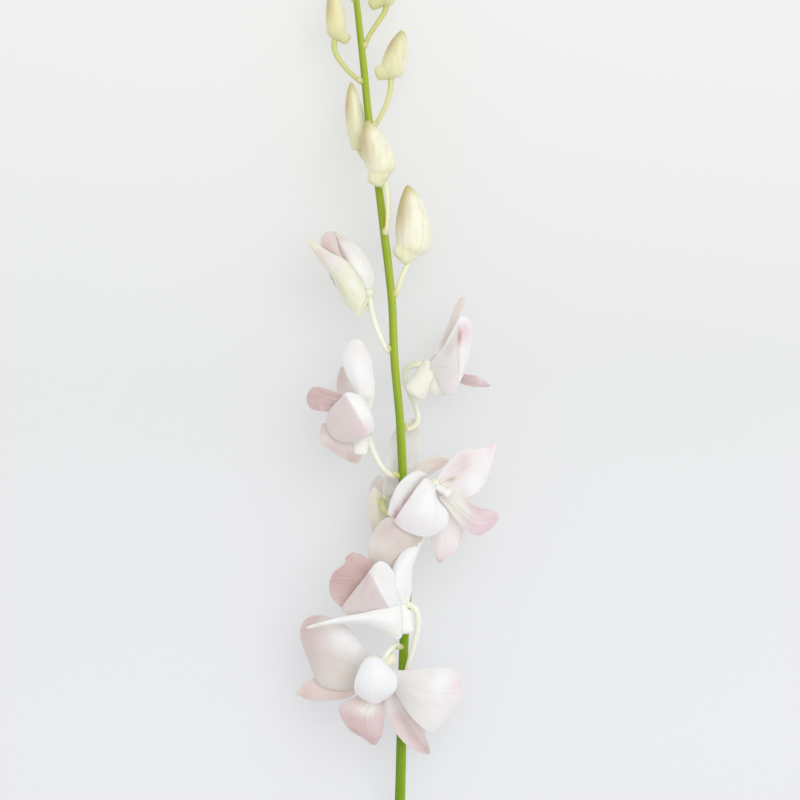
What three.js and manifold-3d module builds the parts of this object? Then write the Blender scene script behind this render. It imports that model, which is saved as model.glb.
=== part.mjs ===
// A cut spray of a dendrobium orchid, lying on a flat surface.
// The frame is in millimetres: +Y runs along the stem to its tip, +X to its right, +Z up from the surface.
// A green stem carries seven blooms and nine buds in turn to its left and right, each on its own stalk.
// Every place below is measured from the middle of the flowering length, with the surface at z = 0.

import * as THREE from "three";
import { mergeVertices } from "three/addons/utils/BufferGeometryUtils.js";
import Module from "manifold-3d";

const wasm = await Module();
wasm.setup();

// Driving dimensions

const GAP = 0.3; // between pieces that touch
const BLADE = { middle: 0.9, edge: 0.64 }; // thickness of a sepal, petal or lip
const RIPPLE = 0.5; // height of the waves along the edge of a grown blade
const COLUMN_RADIUS = 1.9;
const RESTING = 0.15; // nearer the surface than this is on it
const STALK = { foot: 1.15, top: 1.5 }; // radius at the stem, and at the ovary under the flower
const RECEPTACLE_RADIUS = 2.6;

// Rows from base to tip and columns across
const GRID = { grown: [6, 4], drawn: [8, 4] };

// Outlines: how wide the base is, and how the width grows to its fullest and closes to the tip
const OUTLINES = {
  petal: { base: 0.14, grow: 1.15, close: 0.5 },
  lateral: { base: 0.6, grow: 0.6, close: 0.8 },
  lip: { base: 0.6, grow: 0.8, close: 0.45 },
  bud: { base: 0.6, grow: 0.45, close: 0.8 },
};

const COLOURS = {
  stem: 0x6e9a1e,
  stalk: 0xdfe3a6,
  tepals: 0xf2e9e8,
  lip: 0xd9b3b4,
  column: 0xf3f1df,
  bud: 0xe9e6bd,
};

// Vectors and curves

const vector = (xyz) => new THREE.Vector3(...xyz);

// A smooth curve through four points, a third of the way apart.
function curveThrough(points) {
  const [a, b, c, d] = points.map(vector);
  const blend = (...shares) =>
    [a, b, c, d].reduce((sum, p, i) => sum.addScaledVector(p, shares[i] / 6), new THREE.Vector3());
  return new THREE.CubicBezierCurve3(a, blend(-5, 18, -9, 2), blend(2, -9, 18, -5), d);
}

const mix = (a, b, share) => a + (b - a) * share;

// Solids

// Turns a closed geometry into a solid, after moving each vertex to its place.
function solidFrom(geometry, placeOf) {
  geometry.deleteAttribute("normal");
  geometry.deleteAttribute("uv");
  const { position } = geometry.attributes;
  for (let i = 0; i < position.count; i++) {
    const place = placeOf(new THREE.Vector3().fromBufferAttribute(position, i));
    if (place.z < RESTING) place.z = 0;
    position.setXYZ(i, ...place);
  }
  const merged = mergeVertices(geometry, 1e-4);
  const vertProperties = merged.attributes.position.array;
  return new wasm.Manifold(new wasm.Mesh({ numProp: 3, vertProperties, triVerts: merged.index.array }));
}

const join = (solids) => solids.reduce((all, solid) => all.add(solid));

// What is left of a solid clear of its neighbours, without the crumbs.
function clearOf(solid, ...neighbours) {
  const left = neighbours.reduce((rest, neighbour) => rest.subtract(neighbour), solid);
  return left.decompose().reduce((best, body) => (body.volume() > best.volume() ? body : best));
}

// A sheet is a box, one step thick, bent to shape.
// pointAt and thicknessAt take s from base to tip and t across from -1 to 1.
function sheet(pointAt, thicknessAt, rows, columns) {
  const geometry = new THREE.BoxGeometry(2, 1, 1, columns, rows, 1);
  const step = 1e-3;
  const placeOf = ({ x: t, y, z: side }) => {
    const s = y + 0.5;
    const along = pointAt(Math.min(s + step, 1), t).sub(pointAt(Math.max(s - step, 0), t));
    const across = pointAt(s, Math.min(t + step, 1)).sub(pointAt(s, Math.max(t - step, -1)));
    const normal = across.cross(along).normalize();
    return pointAt(s, t).addScaledVector(normal, thicknessAt(s, t) * side);
  };
  splitAlike(geometry);
  return solidFrom(geometry, placeOf);
}

// Splits the squares of a box's back face along the same diagonals as those of its front.
function splitAlike(geometry) {
  const { array } = geometry.index;
  const back = geometry.groups[5];
  for (let i = back.start; i < back.start + back.count; i += 6) {
    const [a, b, d, , c] = array.slice(i, i + 5);
    array.set([a, b, c, a, c, d], i);
  }
}

// A rod is a cylinder bent along a curve; radiusAt takes the share of the length and the angle round it.
function rod(curve, radiusAt, sides, steps) {
  const { normals, binormals } = curve.computeFrenetFrames(steps);
  const placeOf = ({ x, y, z }) => {
    const ring = Math.round((y + 0.5) * steps);
    const share = ring / steps;
    const radius = Math.hypot(x, z) * radiusAt(share, Math.atan2(x, z));
    return curve
      .getPointAt(share)
      .addScaledVector(normals[ring], radius * Math.cos(Math.atan2(x, z)))
      .addScaledVector(binormals[ring], radius * Math.sin(Math.atan2(x, z)));
  };
  return solidFrom(new THREE.CylinderGeometry(1, 1, 1, sides, steps), placeOf);
}

function ball(centre, radius) {
  return solidFrom(new THREE.IcosahedronGeometry(radius, 0), (place) => place.add(vector(centre)));
}

const shifted = (point, at) => point.map((v, i) => v + at[i]);

// Sepals, petals and lips

// Half the width of a blade at s, as a share of its greatest.
function outlineAt({ base, grow, close }, s) {
  const peak = grow / (grow + close);
  const swell = (s ** grow * (1 - s) ** close) / (peak ** grow * (1 - peak) ** close);
  const foot = base * (1 - s) ** 2;
  return Math.max(foot + (1 - foot) * swell, 0.07);
}

// The edges and the midrib of a drawn blade, each through its points from base to tip.
const railThrough = (points, at) =>
  new THREE.CatmullRomCurve3(points.map((p) => vector(shifted(p, at))), false, "catmullrom", 0.5);

const thicknessAt = (t, extra) => mix(BLADE.middle, BLADE.edge, t * t) + 2 * extra;

const onSurface = (point, t, extra) => {
  point.z = Math.max(point.z, thicknessAt(t, extra) / 2);
  return point;
};

// A drawn blade runs between its two edges over its midrib. crease is how far it folds there, from the
// round of a leaf at 0 to flat sides at 1.
function drawnBlade({ left, middle, right, crease = 0 }, at, extra) {
  const rails = [left, middle, right].map((points) => railThrough(points, at));
  const pointAt = (s, t) => {
    const [a, b, c] = rails.map((rail) => rail.getPoint(s));
    const round = [(t * (t - 1)) / 2, 1 - t * t, (t * (t + 1)) / 2];
    const folded = [Math.max(-t, 0), 1 - Math.abs(t), Math.max(t, 0)];
    const [p, q, r] = round.map((share, i) => mix(share, folded[i], crease));
    const outward = c.clone().sub(a).setLength(extra * t);
    const point = a.multiplyScalar(p).addScaledVector(b, q).addScaledVector(c, r).add(outward);
    return onSurface(point, t, extra);
  };
  return sheet(pointAt, (s, t) => thicknessAt(t, extra), ...GRID.drawn);
}

// A grown blade follows its midrib and is as wide as its outline. Its inner side looks along face,
// turning to tipFace, and cup is the angle that each half bends to that side.
function grownBlade(kind, spec, at, extra) {
  const midrib = curveThrough(spec.midrib.map((p) => shifted(p, at)));
  const face = vector(spec.face);
  const tipFace = vector(spec.tipFace ?? spec.face);
  const { width, cup = 0.3 } = spec;
  const shape = { ...OUTLINES[kind], ...spec.outline };
  const pointAt = (s, t) => {
    const tangent = midrib.getTangent(s);
    const across = tangent.clone().cross(face.clone().lerp(tipFace, s)).normalize();
    const normal = across.clone().cross(tangent);
    const half = (width / 2) * outlineAt(shape, s) + extra;
    const sideways = (half * Math.sin(cup * t)) / cup;
    const ripple = RIPPLE * Math.abs(t) ** 3 * Math.sin(Math.PI * s) * Math.sin(9 * s + 2 * t);
    const raised = (half * (1 - Math.cos(cup * t))) / cup + ripple;
    const point = midrib.getPoint(s).addScaledVector(across, sideways).addScaledVector(normal, raised);
    return onSurface(point, t, extra);
  };
  return sheet(pointAt, (s, t) => thicknessAt(t, extra), ...GRID.grown);
}

const blade = (kind, spec, at, extra = 0) =>
  spec.middle ? drawnBlade(spec, at, extra) : grownBlade(kind, spec, at, extra);

// A rounded rod between two points, fatter at its foot, for the chin under a flower.
function chin(from, to, [foot, tip], extra = 0) {
  const path = new THREE.LineCurve3(vector(from), vector(to));
  const rounding = (share) => Math.sqrt(Math.max(1 - ((share - 0.5) / 0.52) ** 8, 0.02));
  return rod(path, (share) => mix(foot, tip, share) * rounding(share) + extra, 6, 3);
}

// The blooms, from the lowest up the stem. Each is placed by the top of its ovary, and its pieces by
// points measured from there.
const BLOOMS = {
  bloom_1: {
    at: [-8.4, -111.7, 30],
    dorsal: {
      left: [[1.2, 0, 1.4], [3.4, 0.8, 10], [7.1, -3.8, 13], [6.3, -9.3, 13], [0.4, -14.3, 9]],
      middle: [[0, 0.4, 1], [-0.8, 4.6, 13], [-1.3, -0.4, 18], [-1.7, -8.4, 17], [-2.5, -14.7, 11]],
      right: [[-1, 0.3, 1.6], [-5, 4.2, 11], [-9.7, -1.7, 14], [-10.5, -9.3, 13], [-5.9, -13.9, 9]],
    },
    leftPetal: {
      left: [[-1, -1.6, -0.3], [-12.6, -10.1, -2], [-24.4, -8.8, -3], [-29, -0.9, -3], [-32.3, 8.4, -2]],
      middle: [[-1.1, -1, -0.2], [-11.8, 0.8, 3], [-21, 5.9, 3], [-27.7, 10.5, 1], [-33.6, 14.3, -1.5]],
      right: [[-1.3, 0.8, -1], [-6.3, 7.1, 1], [-12.2, 15.5, 2], [-21.8, 21, 1], [-31.1, 21.4, -2]],
    },
    rightPetal: {
      left: [[1.6, -1, -0.4], [11.8, -1.7, 0], [20.2, -0.4, 1], [27.7, 0, 1], [33.2, -2.1, -1]],
      middle: [[1, -1.1, -0.1], [11.8, -8.4, 1.5], [19.7, -10.9, 2.5], [27.7, -11.8, 2], [34.4, -10.9, -1]],
      right: [[0.9, -1.6, -0.2], [9.2, -16, 0], [15.1, -23.5, 0], [21.8, -28.2, -1], [30.2, -21.9, -2]],
    },
    leftLateral: {
      left: [[-0.6, -1.7, -0.7], [-11.8, -13, -5], [-20.2, -14.7, -6], [-28.6, -15.1, -7], [-35.7, -12.2, -8]],
      middle: [[-0.5, -1.2, -0.7], [-12.6, -9.3, -4], [-21, -10.1, -4], [-28.6, -10.5, -5], [-35.7, -12.2, -8]],
      right: [[-0.8, -1.3, -1.2], [-12.6, -4.6, -5], [-21.8, -4.6, -5], [-28.6, -5.5, -6], [-35.3, -10.9, -8]],
    },
    rightLateral: {
      left: [[1, -1.5, -0.6], [13.4, -16.8, -1.5], [17.2, -23.5, -2], [19.7, -30.3, -3], [21.4, -36.6, -5]],
      middle: [[0.4, -1.4, -0.5], [7.6, -18.5, -4.5], [11.8, -25.2, -5], [16, -31.5, -5], [21, -37.4, -5]],
      right: [[0, -1.8, -0.5], [2.5, -19.3, -2.5], [6.3, -27.7, -3], [11.8, -34, -4], [19.7, -37.8, -5]],
      crease: 0.7,
    },
    lip: {
      left: [[-3.4, -9.3, 4], [-11.8, -12.6, 7], [-17.2, -16.8, 6], [-13.9, -24.8, 4], [-4.2, -31.9, 2]],
      middle: [[-1.3, -10.1, 2], [-3.8, -16, 3.5], [-5.9, -21.4, 4.5], [-5, -27.7, 4], [-2.1, -32.8, 2]],
      right: [[1.3, -9.7, 4], [2.5, -14.3, 6], [2.1, -20.2, 5.5], [1.3, -26.9, 4], [-0.4, -31.1, 2]],
    },
    column: [[0, -1.5, 3], [-1.5, -8, 9]],
    chin: [[0.5, 1, 0], [6.5, 4, -2]],
    chinRadius: [3.2, 2.6],
    stalk: [[-0.4, -104, 25.5], [-2.5, -103, 29.5], [-5.5, -106.5, 31.5], [-7.8, -110.5, 30]],
  },
  bloom_2: {
    at: [0.8, -86.5, 33.5],
    dorsal: {
      left: [[-0.8, 0.8, 1.6], [-6.3, 7.1, 4.5], [-4.2, 15.9, 4.5], [0.9, 23.9, 2.5], [6.8, 28.1, -0.5]],
      middle: [[0.5, 0.5, 1.3], [-0.8, 7.5, 6.5], [0, 15.1, 6.5], [3.8, 22.2, 4.5], [7.6, 27.3, -0.5]],
      right: [[1.4, 1.1, 0.6], [3, 7.5, 2.5], [3.4, 14.3, 2.5], [6.3, 21, 1.5], [8, 26.4, -0.5]],
    },
    leftPetal: {
      left: [[-0.4, 1.4, 1.2], [-2.9, 13.8, 6.5], [-9.2, 19.7, 9.5], [-15.9, 12.2, 9.5], [-25.2, 0.4, 6.5]],
      middle: [[0, 0.4, 1.4], [-4.6, 7.1, 9.5], [-10.9, 9.2, 14], [-17.2, 3.8, 11.5], [-24.7, -1.3, 6.5]],
      right: [[0, -1.7, 0.5], [-4.6, -0.4, 6.5], [-10, 0.4, 10.5], [-16.3, -3, 8.5], [-22.6, -3.8, 6.5]],
      crease: 0.3,
    },
    rightPetal: {
      left: [[-0.6, 1.5, -1], [-9.2, 12.2, -0.5], [-14.2, 21.4, 1.5], [-12.6, 29.8, 2.5], [-7.5, 38.2, 2.5]],
      middle: [[-0.1, 1.1, -1], [-3.3, 13.4, 0.5], [-4.6, 22.2, 3.5], [-2.9, 30.2, 4.5], [-0.8, 36.9, 3.5]],
      right: [[0.3, 1.6, -0.9], [2.6, 13.4, -1.5], [5.5, 22.2, 0.5], [7.6, 29, 2], [5.9, 35.7, 2.5]],
    },
    leftLateral: {
      left: [[0, 0.6, 1.8], [-3.3, 0.8, 6.5], [-14.7, -1.7, 9], [-27.3, -4.2, 9], [-39.4, -7.6, 6.5]],
      middle: [[0.3, -0.5, 1.4], [-2.1, -5.5, 7.5], [-13.8, -4.6, 10.5], [-26.8, -5.5, 9.5], [-39.9, -8.4, 6.5]],
      right: [[0.6, -1.5, 1], [-0.8, -13.5, 1.5], [-12.1, -8, 5.5], [-26.4, -6.7, 7.5], [-39.4, -8.8, 6.5]],
      crease: 0.6,
    },
    rightLateral: {
      midrib: [[2, -8, -2], [-9, -1, -8], [-17, 3, -13], [-24, 6, -17]],
      face: [0, 0.8, 0.5],
      width: 10,
    },
    lip: {
      left: [[-2.1, 3.8, 1.5], [-7.1, 11.3, 3.5], [-12.1, 18.5, 4.5], [-17.2, 22.2, 3.5], [-22.2, 23.1, 2.5]],
      middle: [[-1.6, 2.1, 0.5], [-9.2, 5.9, 2.5], [-16.8, 9.2, 3.5], [-23.9, 10.9, 3.5], [-30.2, 10.5, 2.5]],
      right: [[-1.6, 0.4, 0.5], [-9.2, 0, 2.5], [-16.8, -0.9, 3.5], [-22.2, -1.3, 3.5], [-26.8, 0.8, 2.5]],
    },
    column: [[-1, 1, 0], [-8, 0.5, 1]],
    chin: [[0.5, -1, 0], [2, -11.5, 1]],
    chinRadius: [3.9, 3.2],
    stalk: [[2.1, -117.6, 23], [5.4, -105, 28.5], [7.8, -91.5, 33.5], [1.5, -85.5, 33.5]],
  },
  bloom_3: {
    at: [-7.1, -42, 24],
    dorsal: {
      left: [[-0.4, 1.9, 0], [1.2, 16, -1], [2.9, 25.2, -3], [7.1, 31.9, -4], [12.6, 34.4, -5]],
      middle: [[0.5, 1.3, -0.6], [7.1, 14.3, -2], [9.6, 22.3, -3], [11.3, 29, -4], [13.4, 34, -5]],
      right: [[1.5, 1.1, -0.4], [12.1, 10.5, -2], [15.5, 18.9, -2], [15.5, 26.9, -3], [14.7, 32.3, -5]],
    },
    leftPetal: {
      midrib: [[-0.5, 0.5, -1], [1, 2, -8], [3, 0, -18], [7, -8, -24.5]],
      face: [1, 0, -0.2],
      tipFace: [0, 0.5, -0.85],
      width: 22,
    },
    rightPetal: {
      left: [[1, 1.4, -0.8], [9.2, 9.2, 0.5], [17.2, 16.8, 1], [23.1, 18.5, 1], [28.1, 17.2, 0]],
      middle: [[1.3, 0.5, -0.6], [10.5, 6.7, 0], [18, 12.2, 0.5], [23.1, 14.7, 0.5], [28.1, 16.4, 0]],
      right: [[1.6, -0.2, -1.1], [10.5, 3.8, -2], [15.9, 8, -1], [20.1, 10.5, -0.5], [27.3, 15.5, 0]],
    },
    leftLateral: {
      left: [[0.1, 1.9, 0.2], [-3.8, 5.5, 2], [-6.8, 0, 1], [-6.3, -6.7, 0], [-4.7, -13.4, -3]],
      middle: [[0.4, 1.3, 0.6], [-1.3, 0, 3.5], [-2.6, -4.2, 3], [-3, -8.8, 1], [-3.8, -13.9, -3]],
      right: [[1.2, 1.4, 0.4], [2.1, -2.1, 2], [0.4, -6.3, 2], [-1.3, -9.7, 0.5], [-3, -13.9, -3]],
    },
    rightLateral: {
      midrib: [[0.5, -1.5, -2], [2, -8, -8], [1, -13, -16], [0, -19, -24.5]],
      face: [-0.3, 0.6, -0.6],
      width: 13,
    },
    lip: {
      midrib: [[-1, -1.5, -2], [-2, -4, -7], [-2, -5, -13], [-3, -4, -18]],
      face: [0.3, 0.8, -0.3],
      width: 12,
    },
    column: [[0, 0, -1], [-2.5, -0.5, -7]],
    chin: [[0, 0, 1], [-2, -5, 3]],
    chinRadius: [3.4, 2.4],
    stalk: [[0, -50, 29], [-3, -49, 32], [-6.5, -46, 31.5], [-7.1, -42.5, 27]],
  },
  bloom_4: {
    at: [14.3, -35.3, 33],
    dorsal: {
      left: [[-1.1, 1.4, 0.7], [-7.2, 5.9, 5], [-15.1, 0, 6], [-18.1, -6.3, 5.5], [-19.8, -12.6, 3]],
      middle: [[-0.7, 1, 0.8], [-5.5, 5.1, 6], [-13, -1.2, 7], [-16, -7.5, 6], [-18.5, -13.4, 3]],
      right: [[0, 0, 1], [-3.8, 3.8, 4], [-10.1, -3.3, 3.5], [-13.5, -9.6, 3], [-16.8, -14.3, 2]],
    },
    leftPetal: {
      left: [[-0.7, 1.4, 1], [-4.6, 2.5, 7.5], [-10.1, -5, 10], [-15.1, -12.2, 9], [-17.2, -15.9, 7]],
      middle: [[-0.5, 1.1, 0.9], [-1.3, -3.3, 11], [-3, -10.9, 13], [-5.5, -16.8, 10.5], [-9.3, -20.6, 6]],
      right: [[0, 1.2, 1.4], [1.2, -5.4, 6.5], [5.9, -12.2, 8], [5, -17.6, 7], [-0.9, -21.8, 5]],
    },
    rightPetal: {
      left: [[0.4, 1.8, 0.5], [6.7, 10.5, 4], [12.6, 15.1, 5], [18.9, 14.7, 4], [25.2, 17.7, 2]],
      middle: [[1.1, 1.1, 0], [8.4, 4.2, 2.5], [14.3, 7.2, 4], [20.1, 10.1, 3.5], [25.6, 16.8, 2]],
      right: [[1.9, -0.4, 0], [8, -7.1, 0], [14.7, -5.4, 2], [21, -0.4, 2], [26, 15.1, 2]],
    },
    leftLateral: {
      left: [[1.2, -1.2, -0.7], [8, -11.7, -2], [10.9, -20.1, -3], [9.2, -28.1, -4], [3.3, -32.7, -5]],
      middle: [[0.4, -1.1, -1], [2.9, -11.7, -1.5], [4.2, -20.1, -1.5], [3.8, -27.3, -3], [2.5, -33.2, -5]],
      right: [[-0.4, -1.6, -1], [-2.1, -11.7, -2], [-1.7, -20.1, -2], [-0.4, -26.9, -3], [1.2, -32.7, -5]],
    },
    rightLateral: {
      left: [[1, -1.2, -1.1], [7.5, -9.2, -4], [10.9, -15.9, -6], [13.4, -21.8, -7]],
      middle: [[0.5, -1, -1], [5.4, -10.9, -3], [8.8, -18, -5], [11.7, -25.2, -7]],
      right: [[0.4, -1.3, -1.3], [3.3, -12.2, -4.5], [6.7, -19.3, -6], [9.6, -26.4, -7]],
    },
    lip: {
      left: [[3.3, -0.8, 3], [10.5, -6.3, 6], [16.8, -8.8, 7], [22.7, -10.1, 7], [26.4, -11.7, 5]],
      middle: [[3.3, -2.9, 1], [10.1, -10.5, 3.5], [15.9, -14.3, 5], [21.4, -15.1, 5.5], [26.9, -13.8, 5]],
      right: [[2.9, -5, 1], [7.1, -11.3, 2], [12.2, -18.5, 3], [18.9, -21.4, 3], [25.6, -16.4, 4]],
    },
    column: [[1, -1, 2], [8, -4.5, 7.5]],
    chin: [[-1, -1, -1], [-5, -8, -6]],
    chinRadius: [3.4, 2],
    stalk: [[4.6, -63, 28], [9, -59, 30], [12.5, -50, 30], [14, -36.5, 31]],
  },
  bloom_5: {
    at: [-14.3, -10.9, 30],
    dorsal: {
      left: [[-0.3, 1.9, 0.3], [-3.8, 13, 3], [-6.7, 20.1, 3], [-9.6, 27.3, 2], [-7.5, 34.8, -1]],
      middle: [[0.2, 1.4, 0.5], [-1.2, 13.8, 4], [-2.9, 21.8, 5.5], [-3.8, 29.4, 4.5], [-4.2, 36.5, 0]],
      right: [[0.7, 1.7, 0.3], [3.8, 13.4, 2], [3.4, 21.8, 2], [2.1, 29.4, 1], [-0.8, 34.8, -1]],
    },
    leftPetal: {
      left: [[0.7, 1.3, 1.2], [-0.4, 10.9, 9], [-7.5, 14.3, 12], [-12.2, 10.1, 10], [-16.4, 5.4, 7]],
      middle: [[0.9, 0.4, 1.1], [2.5, 4.6, 10], [-3.8, 6.3, 15], [-9.6, 2.1, 12], [-15.9, -1.7, 7]],
      right: [[1.2, -1.2, 0.7], [3.8, -2.1, 4], [0, -4.2, 10], [-5.4, -6.7, 8], [-11.3, -6.7, 6]],
      crease: 0.3,
    },
    rightPetal: {
      left: [[-0.8, 1.7, -0.4], [-8.4, 10.1, -9], [-12.6, 15.5, -20], [-11.7, 23.9, -29.6]],
      middle: [[-0.3, 0.8, -1.2], [-5.9, 9.6, -11], [-9.6, 15.9, -21], [-10.5, 25.2, -29.6]],
      right: [[0.4, 1.6, -0.9], [-2.9, 10.9, -10], [-5.4, 17.2, -18], [-9.6, 23.9, -29.6]],
    },
    leftLateral: {
      left: [[-3.8, -16, 0], [-8.4, -14.3, 1], [-13.8, -10.9, 2], [-18.9, -7.2, 2], [-19.3, -0.4, 1]],
      middle: [[-2.5, -14.3, 0], [-8, -10.5, 3], [-12.2, -7.2, 3.5], [-15.9, -3.4, 3.5], [-18.5, 0.8, 1]],
      right: [[-1.7, -12.2, 1], [-6.3, -8, 3], [-9.6, -4.2, 4], [-13, -0.9, 3], [-17.2, 1.7, 1]],
    },
    rightLateral: {
      midrib: [[0, -7, -2], [-5, -10, -9], [-10, -10, -17], [-15, -6, -25]],
      face: [-0.3, 0.6, 0.6],
      width: 13,
    },
    lip: {
      left: [[-4.2, 8.8, 3], [-9.6, 13, 5], [-13.8, 14.7, 6], [-19.3, 16.4, 6], [-22.7, 16.4, 5]],
      middle: [[-3.8, 6.7, 2], [-9.2, 9.2, 4], [-14.3, 10.5, 5], [-19.3, 11.3, 5.5], [-24.8, 11.3, 4]],
      right: [[-3.8, 5, 3], [-8.8, 6.7, 4], [-14.7, 5.9, 5], [-18.9, 6.3, 5], [-22.7, 6.7, 4]],
    },
    column: [[-1, 1, 0], [-7, 3.5, 0]],
    chin: [[-0.8, -0.6, 0], [-1.7, -13.5, 0]],
    chinRadius: [4.2, 2.2],
    stalk: [[-1.5, -32.3, 29], [-7.5, -28, 31], [-11.5, -20, 31.5], [-13.8, -12, 31]],
  },
  bloom_6: {
    at: [11.8, 14.3, 30],
    dorsal: {
      left: [[0.5, 1.7, 0.6], [5.4, 8.4, 2], [8.8, 16.8, 2], [11.3, 24.3, 1], [13.4, 28.5, -1]],
      middle: [[0.8, 1, -0.7], [6.7, 7.5, -3], [10, 15.9, -3], [12.6, 23.1, -2], [14.7, 29, -1]],
      right: [[1.8, 0.7, 0], [7.9, 6.7, 0], [10.9, 14.7, 0], [13.8, 21.8, 0], [15.9, 27.7, -1]],
    },
    leftPetal: {
      midrib: [[0, 0, -1], [6, 1, -10], [12, 2, -20], [16, 3, -31]],
      face: [0.8, 0.1, 0.2],
      width: 26,
    },
    rightPetal: {
      left: [[0.4, 1.1, 1.5], [5, 6.3, 7], [9.2, 13, 11], [13, 20.1, 13], [18, 19.7, 11]],
      middle: [[0.6, 0, 1.4], [6.7, -1.3, 9], [11.3, 1.7, 13.5], [14.2, 8.4, 13.5], [18, 9.6, 10]],
      right: [[0.6, -1, 1.5], [5.4, -10.5, 6], [10.5, -11.8, 10], [13.4, -6.3, 12], [15.1, -3, 10]],
      crease: 0.2,
    },
    leftLateral: {
      midrib: [[-1, -2, -2], [2, -5.5, -8], [6, -7, -15], [10, -7, -22]],
      face: [0.3, 0.6, 0.6],
      width: 13,
    },
    rightLateral: {
      left: [[0.8, -0.4, 1], [5, -3.4, 4], [8.4, -5.9, 6], [10.5, -9.3, 6]],
      middle: [[0.8, -0.9, 1], [2.5, -6.3, 4], [5.4, -9.3, 4.5], [8.8, -11.4, 4]],
      right: [[0.4, -1.3, 0], [-0.5, -8.4, 2], [2.1, -11.8, 2], [6.7, -12.6, 2]],
    },
    lip: {
      left: [[3.3, 0, 3], [10, -0.9, 5], [15.1, -3.4, 6], [20.1, -4.2, 6], [25.6, -7.6, 5]],
      middle: [[3.3, -1.3, 1.5], [10, -3, 4], [15.5, -5.5, 5], [20.5, -6.7, 5.5], [26, -8.4, 5]],
      right: [[3.3, -3, 2], [9.2, -5.1, 3], [15.1, -8, 4], [20.5, -8.8, 4.5], [25.2, -8.8, 5]],
    },
    column: [[1, 0, 0], [8, -1, 1]],
    chin: [[1.2, -1.4, 0], [-7, -13, 1]],
    chinRadius: [4.6, 5.2],
    stalk: [[1.6, -12.6, 27.5], [7, -4, 22], [2, 9, 22], [11, 15, 28.5]],
  },
  bloom_7: {
    at: [-13, 45, 30],
    dorsal: {
      left: [[1.2, 0.8, 0], [2.9, 6.2, 1], [-0.9, 14.6, 2], [-6.7, 20.9, 1], [-14.1, 26.6, -1.1]],
      middle: [[-0.2, 0.6, 1.4], [-3, 7.9, 6.5], [-6.7, 14.2, 6.5], [-10.5, 20.1, 4], [-14.7, 26.4, -1]],
      right: [[-1.5, 0.9, 0.7], [-5.5, 7.1, 3], [-9.7, 13, 3], [-12.2, 18.8, 2], [-15.3, 26.2, -0.9]],
    },
    leftPetal: {
      left: [[-1.3, 1.2, 0], [-8.8, 7.5, 1], [-16.4, 15.5, 1.5], [-20.2, 20.5, 1], [-18.5, 25.6, -1]],
      middle: [[-0.9, 1.1, 0.5], [-7.2, 8.8, 3], [-13.9, 16.3, 3.5], [-16.8, 20.9, 3], [-16.8, 25.6, 0]],
      right: [[-0.4, 1.6, 0], [-5.5, 9.6, 1.5], [-11.4, 17.2, 2.5], [-13.5, 22.2, 2], [-14.7, 26, -1]],
    },
    rightPetal: {
      midrib: [[-1, 1, -1], [-6, 10, -2], [-10, 19, -1.5], [-15, 26.5, 0]],
      face: [-0.2, 0, 1],
      width: 12,
      cup: 0.9,
      outline: { base: 0.4, grow: 0.7, close: 0.5 },
    },
    leftLateral: {
      left: [[-1.3, -0.1, 1], [-5.1, 5.8, 5], [-10.1, 11.7, 6], [-16.8, 15.9, 4], [-25.2, 22.6, 0]],
      middle: [[-3, -4.3, 2], [-8.4, 1.2, 6], [-13.9, 9.6, 6], [-19.3, 15.1, 4], [-26.1, 22.2, 0]],
      right: [[-5.1, -9.7, 0], [-10.1, -4.3, 1], [-14.7, 5, 1], [-20.2, 12.5, 1], [-26.1, 21.4, 0]],
    },
    rightLateral: {
      midrib: [[-3, -7, -1], [-8, 3, -7], [-14, 13, -7], [-20, 24, -2]],
      face: [0.1, 0, 1],
      width: 13,
      cup: 0.9,
    },
    chin: [[0, -1, 0], [-4.6, -10.9, 0]],
    chinRadius: [3.6, 1.3],
    stalk: [[-4.3, 20.4, 29.5], [-7, 24, 30.5], [-10.5, 33, 30.5], [-12.8, 44, 30]],
  },
};

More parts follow.
